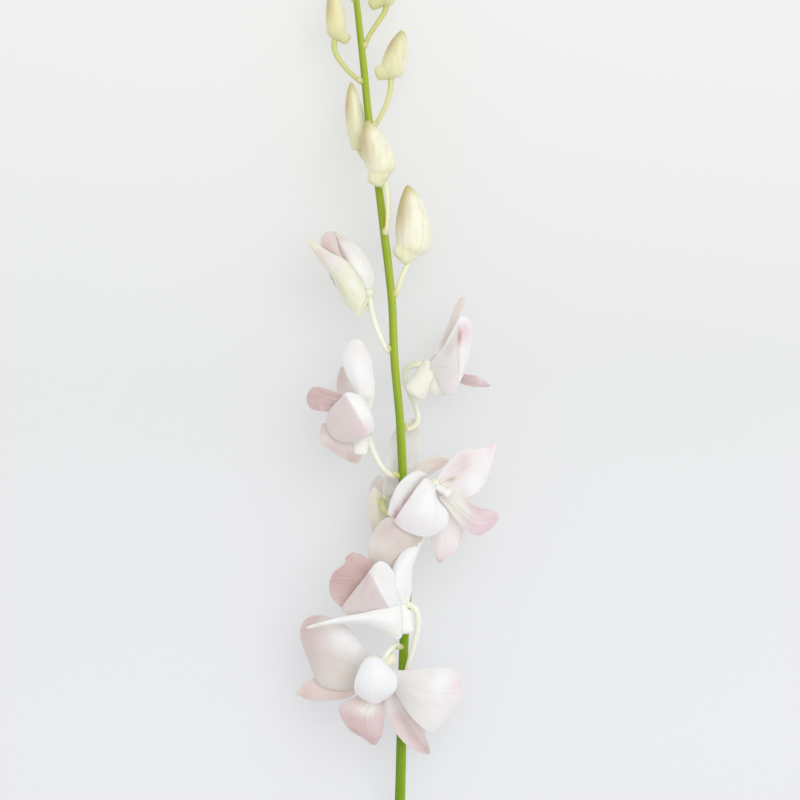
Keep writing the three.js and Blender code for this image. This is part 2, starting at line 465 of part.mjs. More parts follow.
// The buds, from the lowest up the stem. path runs from the ovary to the tip; chin is where the chin ends.
const BUDS = {
  bud_1: {
    path: [[5.5, 60.3, 31], [5.6, 68.5, 31.5], [4.8, 79.8, 32.5], [2.9, 90.3, 33]],
    width: 14.6,
    chin: [-1, 58.9, 32.5],
    stalk: [[-1.5, 43, 30], [0.3, 50, 31], [3, 56.5, 31], [5.5, 60, 31]],
  },
  bud_2: {
    path: [[-6.7, 94.1, 34], [-8.4, 100, 34.8], [-11.5, 108.5, 35.8], [-13.4, 117.2, 36]],
    width: 12.6,
    chin: [-11, 89.6, 35.2],
    stalk: [[-6.3, 69, 30.8], [-5, 76, 33], [-5.2, 85, 34], [-6.6, 93.6, 34]],
  },
  bud_3: {
    path: [[-17.6, 108.5, 20.5], [-18.5, 115.5, 21], [-19.8, 125, 22], [-20.6, 134.4, 22.5]],
    width: 8.2,
    chin: [-18.5, 105.2, 22],
    stalk: [[-11.7, 98.7, 25], [-13.3, 100.5, 22.5], [-15.8, 103, 20.5], [-17.6, 108, 20.5]],
  },
  bud_4: {
    path: [[-3.8, 135.2, 25], [-2.6, 141.5, 25.5], [-0.5, 149.1, 26], [0.8, 155.8, 26]],
    width: 10,
    chin: [-10.4, 136.8, 26],
    stalk: [[-11.2, 114.3, 25], [-7.3, 121, 25.5], [-4.6, 128, 25.5], [-3.8, 135, 25]],
  },
  bud_5: {
    path: [[-27.5, 152, 21], [-27, 158.5, 21], [-27.8, 167, 21], [-29.4, 174, 20.5]],
    width: 8.2,
    chin: [-21.6, 151.2, 21.5],
    stalk: [[-15.7, 133.5, 22], [-21.5, 138.5, 21.5], [-26.5, 145, 21], [-27.5, 151.8, 21]],
  },
  bud_6: {
    path: [[-5.9, 166.3, 18.5], [-6, 173, 18.5], [-7.4, 180.5, 18], [-9.2, 187.3, 17]],
    width: 8.6,
    chin: [-13, 166.3, 19],
    stalk: [[-15.2, 148.3, 19.6], [-11.8, 156, 19], [-8, 161.5, 18.7], [-5.9, 166, 18.5]],
  },
  bud_7: {
    path: [[-27, 184.8, 12.5], [-27.4, 190, 12], [-27.8, 196, 11.2], [-28.4, 201.6, 10.2]],
    width: 6.8,
    chin: [-23.9, 184, 13],
    stalk: [[-19, 169, 15.2], [-23, 173.5, 14.2], [-26.6, 178, 13.2], [-27, 184.5, 12.5]],
  },
  bud_8: {
    path: [[-14.3, 196.6, 9], [-14.3, 201, 8.6], [-14.5, 206, 8], [-14.8, 210, 7.2]],
    width: 5.4,
    chin: [-17, 196, 9.4],
    stalk: [[-20.3, 185, 11.6], [-18, 189.5, 10.6], [-15.2, 192.5, 9.6], [-14.3, 196.4, 9]],
  },
  bud_9: {
    path: [[-28.2, 207.5, 2.2], [-28.7, 210.5, 1.8], [-29.4, 213.5, 1.6], [-30, 216.5, 1.2]],
    width: 4,
    chin: [-26.4, 207, 2.4],
    stalk: [[-22.9, 199.5, 8.2], [-25, 202, 6.2], [-27.6, 204, 3.6], [-28.2, 207.3, 2.2]],
  },
};

const BLADES = {
  dorsal: "dorsal",
  leftPetal: "petal",
  rightPetal: "petal",
  leftLateral: "lateral",
  rightLateral: "lateral",
};

// A bud is three sepals shut round the rest, with a chin at the foot.
function budOf({ path, width, chin: chinTip }, extra = 0) {
  const axis = curveThrough(path);
  const rounding = (share) => Math.sqrt(1 - 0.9 * (1 - Math.min(share / 0.2, 1)) ** 2);
  const radiusAt = (share, angle) =>
    (width / 2) * outlineAt(OUTLINES.bud, share) * rounding(share) * (1 + 0.05 * Math.cos(3 * angle)) + extra;
  const from = axis.getPoint(0.22).toArray();
  return join([rod(axis, radiusAt, 9, 6), chin(from, chinTip, [width * 0.4, width * 0.28], extra)]);
}

function tepalsOf(bloom, extra = 0) {
  const blades = Object.entries(BLADES).map(([name, kind]) => blade(kind, bloom[name], bloom.at, extra));
  const [from, to] = bloom.chin.map((p) => shifted(p, bloom.at));
  const receptacle = ball(bloom.at, RECEPTACLE_RADIUS + extra);
  return join([...blades, chin(from, to, bloom.chinRadius, extra), receptacle]);
}

function columnOf(bloom) {
  const [from, to] = bloom.column.map((p) => shifted(p, bloom.at));
  const path = new THREE.LineCurve3(vector(from), vector(to));
  return rod(path, (share) => COLUMN_RADIUS * (share < 0.7 ? 0.9 : 1.1 - 2.2 * (share - 0.75) ** 2), 7, 3);
}

function stalkOf(points, scale = 1) {
  const radiusAt = (share) => scale * mix(STALK.foot, STALK.top, share ** 2);
  return rod(curveThrough(points), radiusAt, 6, 7);
}

// The stem

const BRACT = { reach: 3, foot: 1.5, rim: 1.7 };
const RING = { stations: [-251, -216], reach: 1.2, height: 0.4 };

const STEM = [
  { at: [-2.5, -278, 1.9], radius: 2.3 },
  { at: [-1.3, -222, 8], radius: 2.25 },
  { at: [0, -168, 15], radius: 2.15 },
  { at: [1, -126, 20.5], radius: 2.05 },
  { at: [1.7, -101, 24], radius: 1.95 },
  { at: [3, -78, 26.5], radius: 1.9 },
  { at: [2.6, -55, 28], radius: 1.9 },
  { at: [1.3, -34, 29], radius: 1.85 },
  { at: [0, -8.4, 29.8], radius: 1.75 },
  { at: [-2.3, 16.8, 30], radius: 1.7 },
  { at: [-3.4, 42, 30], radius: 1.7 },
  { at: [-6.5, 69.3, 29], radius: 1.7 },
  { at: [-8.8, 88.2, 27.6], radius: 1.65 },
  { at: [-13, 117.6, 24.6], radius: 1.6 },
  { at: [-15.5, 142.8, 20.6], radius: 1.5 },
  { at: [-18.3, 168, 15.8], radius: 1.35 },
  { at: [-21, 189, 11], radius: 1.1 },
  { at: [-24, 208, 6.5], radius: 0.8 },
];

const stemPath = new THREE.CatmullRomCurve3(STEM.map(({ at }) => vector(at)));

// The stations before and after a height, and how far it is between them.
function stationsAt(y) {
  const found = STEM.findIndex(({ at }) => at[1] >= y);
  const after = found < 0 ? STEM.length - 1 : Math.max(1, found);
  const [low, high] = [STEM[after - 1], STEM[after]];
  return { low, high, after, share: (y - low.at[1]) / (high.at[1] - low.at[1]) };
}

function stemRadiusAt(y) {
  const { low, high, share } = stationsAt(y);
  return mix(low.radius, high.radius, share);
}

function stemPointAt(y) {
  const { after, share } = stationsAt(y);
  return stemPath.getPoint((after - 1 + share) / (STEM.length - 1));
}

// The bract round the foot of a stalk runs from the middle of the stem to a little way up the stalk.
function bract([foot, above], extra) {
  const start = stemPointAt(foot[1]);
  const end = vector(foot).lerp(vector(above), BRACT.reach / vector(foot).distanceTo(vector(above)));
  return rod(new THREE.LineCurve3(start, end), (share) => mix(BRACT.foot, BRACT.rim, share) + extra, 6, 1);
}

// The scar of a leaf round the bare run of the stem.
function ring(y, extra) {
  const path = new THREE.LineCurve3(stemPointAt(y - RING.reach), stemPointAt(y + RING.reach));
  const swell = (share) => RING.height * Math.sin(Math.PI * mix(0.15, 0.85, share));
  return rod(path, (share) => stemRadiusAt(y) + swell(share) + extra, 8, 2);
}

function stemSolid(extra = 0) {
  const run = rod(stemPath, (share) => stemRadiusAt(stemPath.getPointAt(share).y) + extra, 8, 44);
  const stalks = [...Object.values(BLOOMS), ...Object.values(BUDS)].map(({ stalk }) => stalk);
  const bracts = stalks.map((stalk) => bract(stalk, extra));
  const rings = RING.stations.map((y) => ring(y, extra));
  return join([run, ...bracts, ...rings]);
}

// Putting the spray together

const spray = new THREE.Group();

function addMesh(name, solid, colour) {
  const { vertProperties, triVerts } = solid.getMesh();
  const geometry = new THREE.BufferGeometry();
  geometry.setAttribute("position", new THREE.BufferAttribute(vertProperties, 3));
  geometry.setIndex(new THREE.BufferAttribute(triVerts, 1));
  geometry.computeVertexNormals();
  const material = new THREE.MeshStandardMaterial({ color: colour, roughness: 0.6, metalness: 0 });
  const mesh = new THREE.Mesh(geometry, material);
  mesh.name = name;
  spray.add(mesh);
}

const stemRoom = stemSolid(GAP);
addMesh("stem", stemSolid(), COLOURS.stem);
const roomInFront = tepalsOf(BLOOMS.bloom_4, GAP);
for (const [name, bloom] of Object.entries(BLOOMS)) {
  const room = tepalsOf(bloom, GAP);
  const neighbours = name === "bloom_4" ? [stemRoom] : [stemRoom, roomInFront];
  addMesh(`${name}_tepals`, clearOf(tepalsOf(bloom), ...neighbours), COLOURS.tepals);
  addMesh(`${name}_stalk`, clearOf(stalkOf(bloom.stalk), room, stemRoom), COLOURS.stalk);
  if (!bloom.lip) continue;
  addMesh(`${name}_lip`, clearOf(blade("lip", bloom.lip, bloom.at), room), COLOURS.lip);
  const lipRoom = blade("lip", bloom.lip, bloom.at, GAP);
  addMesh(`${name}_column`, clearOf(columnOf(bloom), room, lipRoom), COLOURS.column);
}
for (const [name, bud] of Object.entries(BUDS)) {
  addMesh(name, budOf(bud), COLOURS.bud);
  addMesh(`${name}_stalk`, clearOf(stalkOf(bud.stalk, 0.9), budOf(bud, GAP), stemRoom), COLOURS.stalk);
}

// The origin is under the middle of the whole spray, on the surface.
const box = new THREE.Box3().setFromObject(spray);
spray.position.set(-(box.min.x + box.max.x) / 2, -(box.min.y + box.max.y) / 2, -box.min.z);

export default spray;
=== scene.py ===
import math
import random

import bpy
import numpy as np
from mathutils import Matrix, Vector, noise


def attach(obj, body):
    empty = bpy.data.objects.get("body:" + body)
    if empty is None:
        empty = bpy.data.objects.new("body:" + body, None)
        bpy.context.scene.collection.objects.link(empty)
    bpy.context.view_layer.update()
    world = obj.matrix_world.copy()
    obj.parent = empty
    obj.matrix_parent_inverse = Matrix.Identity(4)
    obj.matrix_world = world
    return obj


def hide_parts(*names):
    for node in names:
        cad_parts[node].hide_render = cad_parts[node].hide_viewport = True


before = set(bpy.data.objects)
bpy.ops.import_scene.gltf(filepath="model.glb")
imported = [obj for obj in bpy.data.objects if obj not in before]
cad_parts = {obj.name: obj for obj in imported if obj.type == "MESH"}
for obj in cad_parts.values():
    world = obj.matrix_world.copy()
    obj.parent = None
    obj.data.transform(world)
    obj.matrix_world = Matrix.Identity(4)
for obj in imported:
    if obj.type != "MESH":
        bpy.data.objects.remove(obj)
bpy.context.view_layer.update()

# The stem is seen from straight above, in soft and very even studio light from its right.
# Sizes below are in millimetres from the middle of the flowering length.
MIDDLE = Vector((1.501, 30.856, 0))
CAMERA_HEIGHT, BLOOM_HEIGHT, HALF_VIEW = 1500, 28, 168
LAMP_PLACE, LAMP_SIZE, LAMP_POWER = (420, 380, 1500), 1500, 9
AIR_LIGHT = 0.74


def place(point):
    return (Vector(point) + MIDDLE) * 0.001


bpy.ops.object.camera_add(location=place((0, 0, CAMERA_HEIGHT)), rotation=(0, 0, 0))
camera = bpy.context.object
camera.name = "camera_above"
camera.data.angle = 2 * math.atan(HALF_VIEW / (CAMERA_HEIGHT - BLOOM_HEIGHT))
bpy.context.scene.camera = camera
bpy.context.scene.view_settings.view_transform = "Standard"

world = bpy.data.worlds.new("studio_air")
bpy.context.scene.world = world
world.use_nodes = True
air = world.node_tree.nodes["Background"]
air.inputs["Color"].default_value = (1, 1, 1, 1)
air.inputs["Strength"].default_value = AIR_LIGHT

bpy.ops.object.light_add(type="AREA", location=place(LAMP_PLACE))
window_light = bpy.context.object
window_light.name = "window_light"
window_light.data.shape = "DISK"
window_light.data.size = LAMP_SIZE * 0.001
window_light.data.energy = LAMP_POWER
facing = place((0, 0, 0)) - window_light.location
window_light.rotation_euler = facing.to_track_quat("-Z", "Y").to_euler()

# The table is a plain pale board. Its tone is painted light: lighter and warmer towards the tip of the stem,
# a little darker in the middle and bluer towards the foot. The board also glows faintly, painted light that
# keeps the shadows on it weak.
TABLE_SIZE, TABLE_TOP = 6000, -0.03
BOARD_LIGHT_FALLOFF, BOARD_GLOW = (-0.14, 0.2), 0.45


def tone(red, green, blue):
    """A colour as it is seen on a screen, turned into the shares of light that a material takes."""
    shares = (red / 255, green / 255, blue / 255)
    return tuple(v / 12.92 if v < 0.04 else ((v + 0.055) / 1.055) ** 2.4 for v in shares)


def node(tree, kind, inputs=None, **settings):
    made = tree.nodes.new(kind)
    for name, value in settings.items():
        setattr(made, name, value)
    for name, value in (inputs or {}).items():
        if isinstance(value, bpy.types.NodeSocket):
            tree.links.new(value, made.inputs[name])
        else:
            made.inputs[name].default_value = value
    return made


def new_material(name):
    """A named material with an empty tree, and where the tree takes its places from, in metres."""
    material = bpy.data.materials.new(name)
    material.use_nodes = True
    tree = material.node_tree
    tree.nodes.clear()
    return material, tree, node(tree, "ShaderNodeTexCoord").outputs


def finish_skin(tree, inputs):
    """The shader of a material, with its colour, gloss, relief and depth."""
    skin = node(tree, "ShaderNodeBsdfPrincipled", inputs)
    node(tree, "ShaderNodeOutputMaterial", {"Surface": skin.outputs["BSDF"]})


def apart(tree, places):
    return node(tree, "ShaderNodeSeparateXYZ", {"Vector": places}).outputs


def ramp(tree, share, *stops):
    """A colour ramp through stops, each a place from 0 to 1 and a colour."""
    made = node(tree, "ShaderNodeValToRGB", {"Fac": share})
    elements = made.color_ramp.elements
    elements[0].position, elements[-1].position = stops[0][0], stops[-1][0]
    for spot, colour in stops[1:-1]:
        elements.new(spot).color = (*colour, 1)
    elements[0].color, elements[-1].color = (*stops[0][1], 1), (*stops[-1][1], 1)
    return made.outputs["Color"]


def share_between(tree, value, low, high, top=1.0):
    """0 below low and top above high."""
    limits = {"Value": value, "From Min": low, "From Max": high, "To Max": top}
    return node(tree, "ShaderNodeMapRange", limits).outputs["Result"]


def mixed(tree, share, one, other, blend="MIX"):
    parts = {"Factor": share, 6: one, 7: other}
    return node(tree, "ShaderNodeMix", parts, data_type="RGBA", blend_type=blend).outputs[2]


def mottle(tree, places, scale, detail=2.0):
    """An uneven grey, from 0 to 1. Places that are stretched first make streaks of it."""
    wanted = {"Vector": places, "Scale": scale, "Detail": detail}
    return node(tree, "ShaderNodeTexNoise", wanted).outputs["Fac"]


bpy.ops.object.select_all(action="DESELECT")
bpy.ops.mesh.primitive_plane_add(size=TABLE_SIZE * 0.001, location=place((0, 0, TABLE_TOP)))
table = bpy.context.object
table.name = "pale_table"
board, tree, where = new_material("pale_board")
along_stem = share_between(tree, apart(tree, where["Object"])["Y"], *BOARD_LIGHT_FALLOFF)
board_stops = ((0, tone(236, 237, 241)), (0.45, tone(232, 233, 233)), (1, tone(243, 243, 241)))
painted_board_falloff = ramp(tree, along_stem, *board_stops)
grain_share = share_between(tree, mottle(tree, where["Object"], 4.0), 0.3, 0.7, 0.5)
shades = mixed(tree, grain_share, painted_board_falloff, (*tone(237, 238, 240), 1))
finish_skin(
    tree,
    {
        "Base Color": mixed(tree, BOARD_GLOW, shades, (0, 0, 0, 1)),
        "Roughness": 0.9,
        "Specular IOR Level": 0,
        "Emission Color": shades,
        "Emission Strength": BOARD_GLOW,
    },
)
table.data.materials.append(board)

# The stem is one round, fleshy green rod that bows up off the table between its cut foot and its
# drooping tip. Fine lines run along it, and two old leaf scars ring its bare run. Each row here is a
# point of its middle line and its radius there.
STATIONS = [
    (-2.5, -278, 1.9, 2.3),
    (-1.3, -222, 8, 2.25),
    (0, -168, 15, 2.15),
    (1, -126, 20.5, 2.05),
    (1.7, -101, 24, 1.95),
    (3, -78, 26.5, 1.9),
    (2.6, -55, 28, 1.9),
    (1.3, -34, 29, 1.85),
    (0, -8.4, 29.8, 1.75),
    (-2.3, 16.8, 30, 1.7),
    (-3.4, 42, 30, 1.7),
    (-6.5, 69.3, 29, 1.7),
    (-8.8, 88.2, 27.6, 1.65),
    (-13, 117.6, 24.6, 1.6),
    (-15.5, 142.8, 20.6, 1.5),
    (-18.3, 168, 15.8, 1.35),
    (-21, 189, 11, 1.1),
    (-24, 208, 6.5, 0.8),
]
LEAF_SCARS, SCAR_HEIGHT, SCAR_WIDTH = (-251, -216), 0.4, 0.8
RIBS, RIB_DEPTH = 9, 0.03
ENDS_AT = 0.002
A_LITTLE_WAY = 0.004


def stem_at(y):
    """The middle of the stem at a height along it, and its radius there."""
    heights = [station[1] for station in STATIONS]
    after = min(max(int(np.searchsorted(heights, y)), 1), len(STATIONS) - 1)
    low, high = STATIONS[after - 1], STATIONS[after]
    span = high[1] - low[1]
    share = (y - low[1]) / span
    before, beyond = STATIONS[max(after - 2, 0)], STATIONS[min(after + 1, len(STATIONS) - 1)]
    found = []
    for axis in (0, 2):
        start_slope = (high[axis] - before[axis]) / (high[1] - before[1]) * span
        end_slope = (beyond[axis] - low[axis]) / (beyond[1] - low[1]) * span
        found.append(
            (2 * share**3 - 3 * share**2 + 1) * low[axis]
            + (share**3 - 2 * share**2 + share) * start_slope
            + (3 * share**2 - 2 * share**3) * high[axis]
            + (share**3 - share**2) * end_slope
        )
    return Vector((found[0], y, found[1])), low[3] + (high[3] - low[3]) * share


def smooth_step(low, high, value):
    share = np.clip((value - low) / (high - low), 0, 1)
    return share * share * (3 - 2 * share)


def close_up(piece):
    """Merges a rolled sheet's seam and its end rows, and turns its faces outward."""
    bpy.ops.object.select_all(action="DESELECT")
    bpy.context.view_layer.objects.active = piece
    piece.select_set(True)
    bpy.ops.object.mode_set(mode="EDIT")
    bpy.ops.mesh.select_all(action="SELECT")
    bpy.ops.mesh.remove_doubles(threshold=1e-6)
    bpy.ops.mesh.normals_make_consistent(inside=False)
    bpy.ops.object.mode_set(mode="OBJECT")
    bpy.ops.object.shade_smooth()


def rolled(name, centre_at, radius_at, around, along):
    """A sheet rolled up round a line. The line and the radius take the share of the way along it, and
    the radius takes the turn round it too. The ends are drawn in to points, and what would go through
    the table lies flat on it."""
    bpy.ops.object.select_all(action="DESELECT")
    bpy.ops.mesh.primitive_grid_add(x_subdivisions=around, y_subdivisions=along, size=2)
    piece = bpy.context.object
    piece.name = name
    rings = {}
    for vertex in piece.data.vertices:
        turn, share = math.pi * vertex.co.x, (vertex.co.y + 1) / 2
        key = round(share * along)
        if key not in rings:
            ahead = centre_at(min(share + A_LITTLE_WAY, 1)) - centre_at(max(share - A_LITTLE_WAY, 0))
            side = ahead.cross(Vector((0, 0, 1))).normalized()
            rings[key] = (centre_at(share), side, side.cross(ahead).normalized())
        centre, side, up = rings[key]
        radius = 0 if key in (0, along) else radius_at(share, turn)
        spot = centre + side * (radius * math.sin(turn)) + up * (radius * math.cos(turn))
        spot.z = max(spot.z, 0)
        vertex.co = place(spot)
    close_up(piece)
    return piece


def stem_height(share):
    low, high = STATIONS[0][1], STATIONS[-1][1]
    return low + (high - low) * min(max((share - ENDS_AT) / (1 - 2 * ENDS_AT), 0), 1)


def stem_radius(share, turn):
    y = stem_height(share)
    scars = sum(SCAR_HEIGHT * math.exp(-(((y - scar) / SCAR_WIDTH) ** 2)) for scar in LEAF_SCARS)
    unevenness = noise.noise(Vector((turn, y * 0.12, 0)))
    ribs = RIB_DEPTH * math.cos(RIBS * turn + 0.01 * y) + RIB_DEPTH * unevenness
    rounding = 0.9 if share < 1.5 * ENDS_AT else 1
    return stem_at(y)[1] * (1 + ribs) * rounding + scars


def finish_piece(piece, node_name, material):
    piece.data.materials.clear()
    piece.data.materials.append(material)
    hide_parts(node_name)
    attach(piece, "root")


def stem_line(share):
    return stem_at(stem_height(share))[0]


stem = rolled("stem_rod", stem_line, stem_radius, around=28, along=560)

# The seam of the rolled sheet is underneath, so its u runs from the under side over the left, the top and
# the right of the stem.
# Painted shade deepens the green over the left, and a paler line down the right is a painted highlight, as
# the light falls from the right.
green_skin, tree, where = new_material("green_stem_skin")
round_and_along = apart(tree, where["UV"])
young = ramp(
    tree,
    round_and_along["Y"],
    (0.0, tone(110, 154, 2)),
    (0.4, tone(128, 163, 4)),
    (0.52, tone(142, 173, 20)),
    (0.62, tone(160, 184, 40)),
    (0.76, tone(160, 182, 36)),
    (1.0, tone(170, 188, 48)),
)
painted_shade_and_highlight = ramp(
    tree,
    round_and_along["X"],
    (0.2, (0.4, 0.46, 0.36)),
    (0.4, (0.8, 0.84, 0.7)),
    (0.52, (1, 1, 1)),
    (0.64, (1.38, 1.2, 3.6)),
    (0.74, (1.38, 1.2, 4.4)),
    (0.84, (0.8, 0.8, 0.9)),
)
green_with_painted_shade = mixed(tree, 1.0, young, painted_shade_and_highlight, "MULTIPLY")


def stretched(tree, places, scale):
    return node(tree, "ShaderNodeMapping", {"Vector": places, "Scale": scale}).outputs["Vector"]


def relief(tree, height, strength, depth=0.0002, under=None):
    """Small raised detail, a fifth of a millimetre deep where nothing else is said."""
    inputs = {"Height": height, "Strength": strength, "Distance": depth}
    if under is not None:
        inputs["Normal"] = under
    return node(tree, "ShaderNodeBump", inputs).outputs["Normal"]


streaks = mottle(tree, stretched(tree, where["UV"], (34, 9, 1)), 1.0, 3.0)
streak_share = share_between(tree, streaks, 0.5, 0.75, 0.35)
streaked = mixed(tree, streak_share, green_with_painted_shade, (*tone(92, 130, 12), 1))
speck_share = share_between(tree, mottle(tree, where["Object"], 1900.0), 0.62, 0.72, 0.4)
finish_skin(
    tree,
    {
        "Base Color": mixed(tree, speck_share, streaked, (*tone(196, 212, 120), 1)),
        "Roughness": 0.42,
        "Normal": relief(tree, streaks, 0.35),
        "Specular IOR Level": 0.35,
        "Subsurface Weight": 0.1,
        "Subsurface Radius": (0.5, 0.8, 0.1),
        "Subsurface Scale": 0.001,
    },
)
finish_piece(stem, "stem", green_skin)

# Each flower and bud hangs on a thin, waxy, cream-green stalk, which comes out of the stem through a
# small bract and swells a little into the ovary. A bud's stalk is thinner and runs on into the foot of
# the bud, and towards the tip of the stem the stalks are greener.
STALKS = {
    "bloom_1": [(-0.4, -104, 25.5), (-2.5, -103, 29.5), (-5.5, -106.5, 31.5), (-7.8, -110.5, 30)],
    "bloom_2": [(2.1, -117.6, 23), (5.4, -105, 28.5), (7.8, -91.5, 33.5), (1.5, -85.5, 33.5)],
    "bloom_3": [(0, -50, 29), (-3, -49, 32), (-6.5, -46, 31.5), (-7.1, -42.5, 27)],
    "bloom_4": [(4.6, -63, 28), (9, -59, 30), (12.5, -50, 30), (14, -36.5, 31)],
    "bloom_5": [(-1.5, -32.3, 29), (-7.5, -28, 31), (-11.5, -20, 31.5), (-13.8, -12, 31)],
    "bloom_6": [(1.6, -12.6, 27.5), (7, -4, 22), (2, 9, 22), (11, 15, 28.5)],
    "bloom_7": [(-4.3, 20.4, 29.5), (-7, 24, 30.5), (-10.5, 33, 30.5), (-12.8, 44, 30)],
    "bud_1": [(-1.5, 43, 30), (0.3, 50, 31), (3, 56.5, 31), (5.5, 60, 31)],
    "bud_2": [(-6.3, 69, 30.8), (-5, 76, 33), (-5.2, 85, 34), (-6.6, 93.6, 34)],
    "bud_3": [(-11.7, 98.7, 25), (-13.3, 100.5, 22.5), (-15.8, 103, 20.5), (-17.6, 108, 20.5)],
    "bud_4": [(-11.2, 114.3, 25), (-7.3, 121, 25.5), (-4.6, 128, 25.5), (-3.8, 135, 25)],
    "bud_5": [(-15.7, 133.5, 22), (-21.5, 138.5, 21.5), (-26.5, 145, 21), (-27.5, 151.8, 21)],
    "bud_6": [(-15.2, 148.3, 19.6), (-11.8, 156, 19), (-8, 161.5, 18.7), (-5.9, 166, 18.5)],
    "bud_7": [(-19, 169, 15.2), (-23, 173.5, 14.2), (-26.6, 178, 13.2), (-27, 184.5, 12.5)],
    "bud_8": [(-20.3, 185, 11.6), (-18, 189.5, 10.6), (-15.2, 192.5, 9.6), (-14.3, 196.4, 9)],
    "bud_9": [(-22.9, 199.5, 8.2), (-25, 202, 6.2), (-27.6, 204, 3.6), (-28.2, 207.3, 2.2)],
}
STALK_FOOT, STALK_TOP, STALK_RIBS, STALK_RIB_DEPTH = 1.15, 1.5, 6, 0.03
BUD_STALK_SIZE, BUD_STALK_REACH = 0.9, 1.08
BLOOM_STALK, SHADED_STALK = tone(251, 251, 243), tone(216, 214, 164)
BUD_STALK, TIP_STALK = np.array(tone(246, 245, 216)), np.array(tone(212, 214, 136))
STALKS_TURN_GREEN = (60, 150)


def line_through(points):
    """A smooth line through four points, a third of the way apart."""
    a, b, c, d = (Vector(point) for point in points)
    second = (-5 * a + 18 * b - 9 * c + 2 * d) / 6
    third = (2 * a - 9 * b + 18 * c - 5 * d) / 6

    def point_at(share):
        left = 1 - share
        return left**3 * a + 3 * left**2 * share * second + 3 * left * share**2 * third + share**3 * d

    return point_at


def tint_corners(piece, colours):
    """Keeps a colour for every corner of a piece's faces, for its material to read."""
    rows = np.column_stack([colours, np.ones(len(colours))])
    tint = piece.data.color_attributes.new("tint", "FLOAT_COLOR", "CORNER")
    tint.data.foreach_set("color", rows.astype(np.float32).ravel())


def tint_evenly(piece, shade):
    tint_corners(piece, np.tile(shade, (len(piece.data.loops), 1)))


def tint_of(tree):
    return node(tree, "ShaderNodeAttribute", attribute_name="tint").outputs["Color"]


stalk_skin, tree, where = new_material("waxy_stalk_skin")
round_and_along = apart(tree, where["UV"])
waxes = ramp(
    tree,
    round_and_along["Y"],
    (0.0, (0.9, 0.84, 0.7)),
    (0.2, (0.98, 0.96, 0.92)),
    (0.6, (1, 1, 1)),
    (1.0, (0.91, 0.94, 0.82)),
)
# Painted shade darkens the left flank of each stalk, and a little its right edge, as the light falls from
# the right.
painted_side_shade = ramp(
    tree,
    round_and_along["X"],
    (0.18, (0.78, 0.82, 0.62)),
    (0.42, (0.96, 0.97, 0.92)),
    (0.55, (1, 1, 1)),
    (0.85, (0.94, 0.95, 0.88)),
)
waxed = mixed(tree, 1.0, tint_of(tree), waxes, "MULTIPLY")
waxy = mixed(tree, 1.0, waxed, painted_side_shade, "MULTIPLY")
lines = mottle(tree, stretched(tree, where["UV"], (16, 2.5, 1)), 1.0, 3.0)
line_share = share_between(tree, lines, 0.45, 0.75, 0.2)
finish_skin(
    tree,
    {
        "Base Color": mixed(tree, line_share, waxy, (*tone(222, 226, 182), 1)),
        "Roughness": 0.4,
        "Normal": relief(tree, lines, 0.3),
        "Subsurface Weight": 0.3,
        "Subsurface Radius": (1, 0.9, 0.4),
        "Subsurface Scale": 0.001,
    },
)


def stalk_for(name, points):
    line = line_through(points)
    if name.startswith("bloom"):
        size, reach = 1, 1
        shade = SHADED_STALK if name == "bloom_3" else BLOOM_STALK
    else:
        size, reach = BUD_STALK_SIZE, BUD_STALK_REACH
        shade = BUD_STALK + (TIP_STALK - BUD_STALK) * smooth_step(*STALKS_TURN_GREEN, points[0][1])

    def radius_at(share, turn):
        radius = STALK_FOOT + (STALK_TOP - STALK_FOOT) * share**2
        return size * radius * (1 + STALK_RIB_DEPTH * math.cos(STALK_RIBS * turn))

    def line_on(share):
        return line(share * reach)

    stalk = rolled(f"{name}_stalk_waxy", line_on, radius_at, around=16, along=36)
    tint_evenly(stalk, shade)
    finish_piece(stalk, f"{name}_stalk", stalk_skin)


for name, points in STALKS.items():
    stalk_for(name, points)

# The foot of each stalk stands in a bract, a short cup that grew with the stem. It is yellow-green and
# fleshy where it leaves the stem, and thin, papery and light tan at its rim.
BRACT_REACH, BRACT_FOOT, BRACT_RIM = 2.9, 1.3, 1.4
RIM_FROM, RIM_SPAN, RIM_TURNS_IN = 0.8, 0.2, 0.6
papery, tree, where = new_material("papery_bract")
papers = ramp(
    tree,
    apart(tree, where["UV"])["Y"],
    (0.0, tone(170, 190, 76)),
    (0.5, tone(210, 212, 140)),
    (0.75, tone(228, 222, 176)),
    (1.0, tone(230, 216, 182)),
)
fibres = mottle(tree, where["Object"], 900.0, 3.0)
fibre_share = share_between(tree, fibres, 0.5, 0.7, 0.4)
finish_skin(
    tree,
    {
        "Base Color": mixed(tree, fibre_share, papers, (*tone(204, 192, 140), 1)),
        "Roughness": 0.6,
        "Normal": relief(tree, fibres, 0.3),
    },
)


def straight(start, end):
    return lambda share: start.lerp(end, share)


def bract_for(name, points):
    foot, above = Vector(points[0]), Vector(points[1])
    start = stem_at(foot.y)[0]
    end = foot.lerp(above, BRACT_REACH / (above - foot).length)

    def radius_at(share, turn):
        past = max(share - RIM_FROM, 0) / RIM_SPAN
        return (BRACT_FOOT + (BRACT_RIM - BRACT_FOOT) * share) * (1 - RIM_TURNS_IN * past**2)

    bract = rolled(f"{name}_bract", straight(start, end), radius_at, around=16, along=12)
    bract.data.materials.append(papery)
    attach(bract, "root")


for name, points in STALKS.items():
    bract_for(name, points)
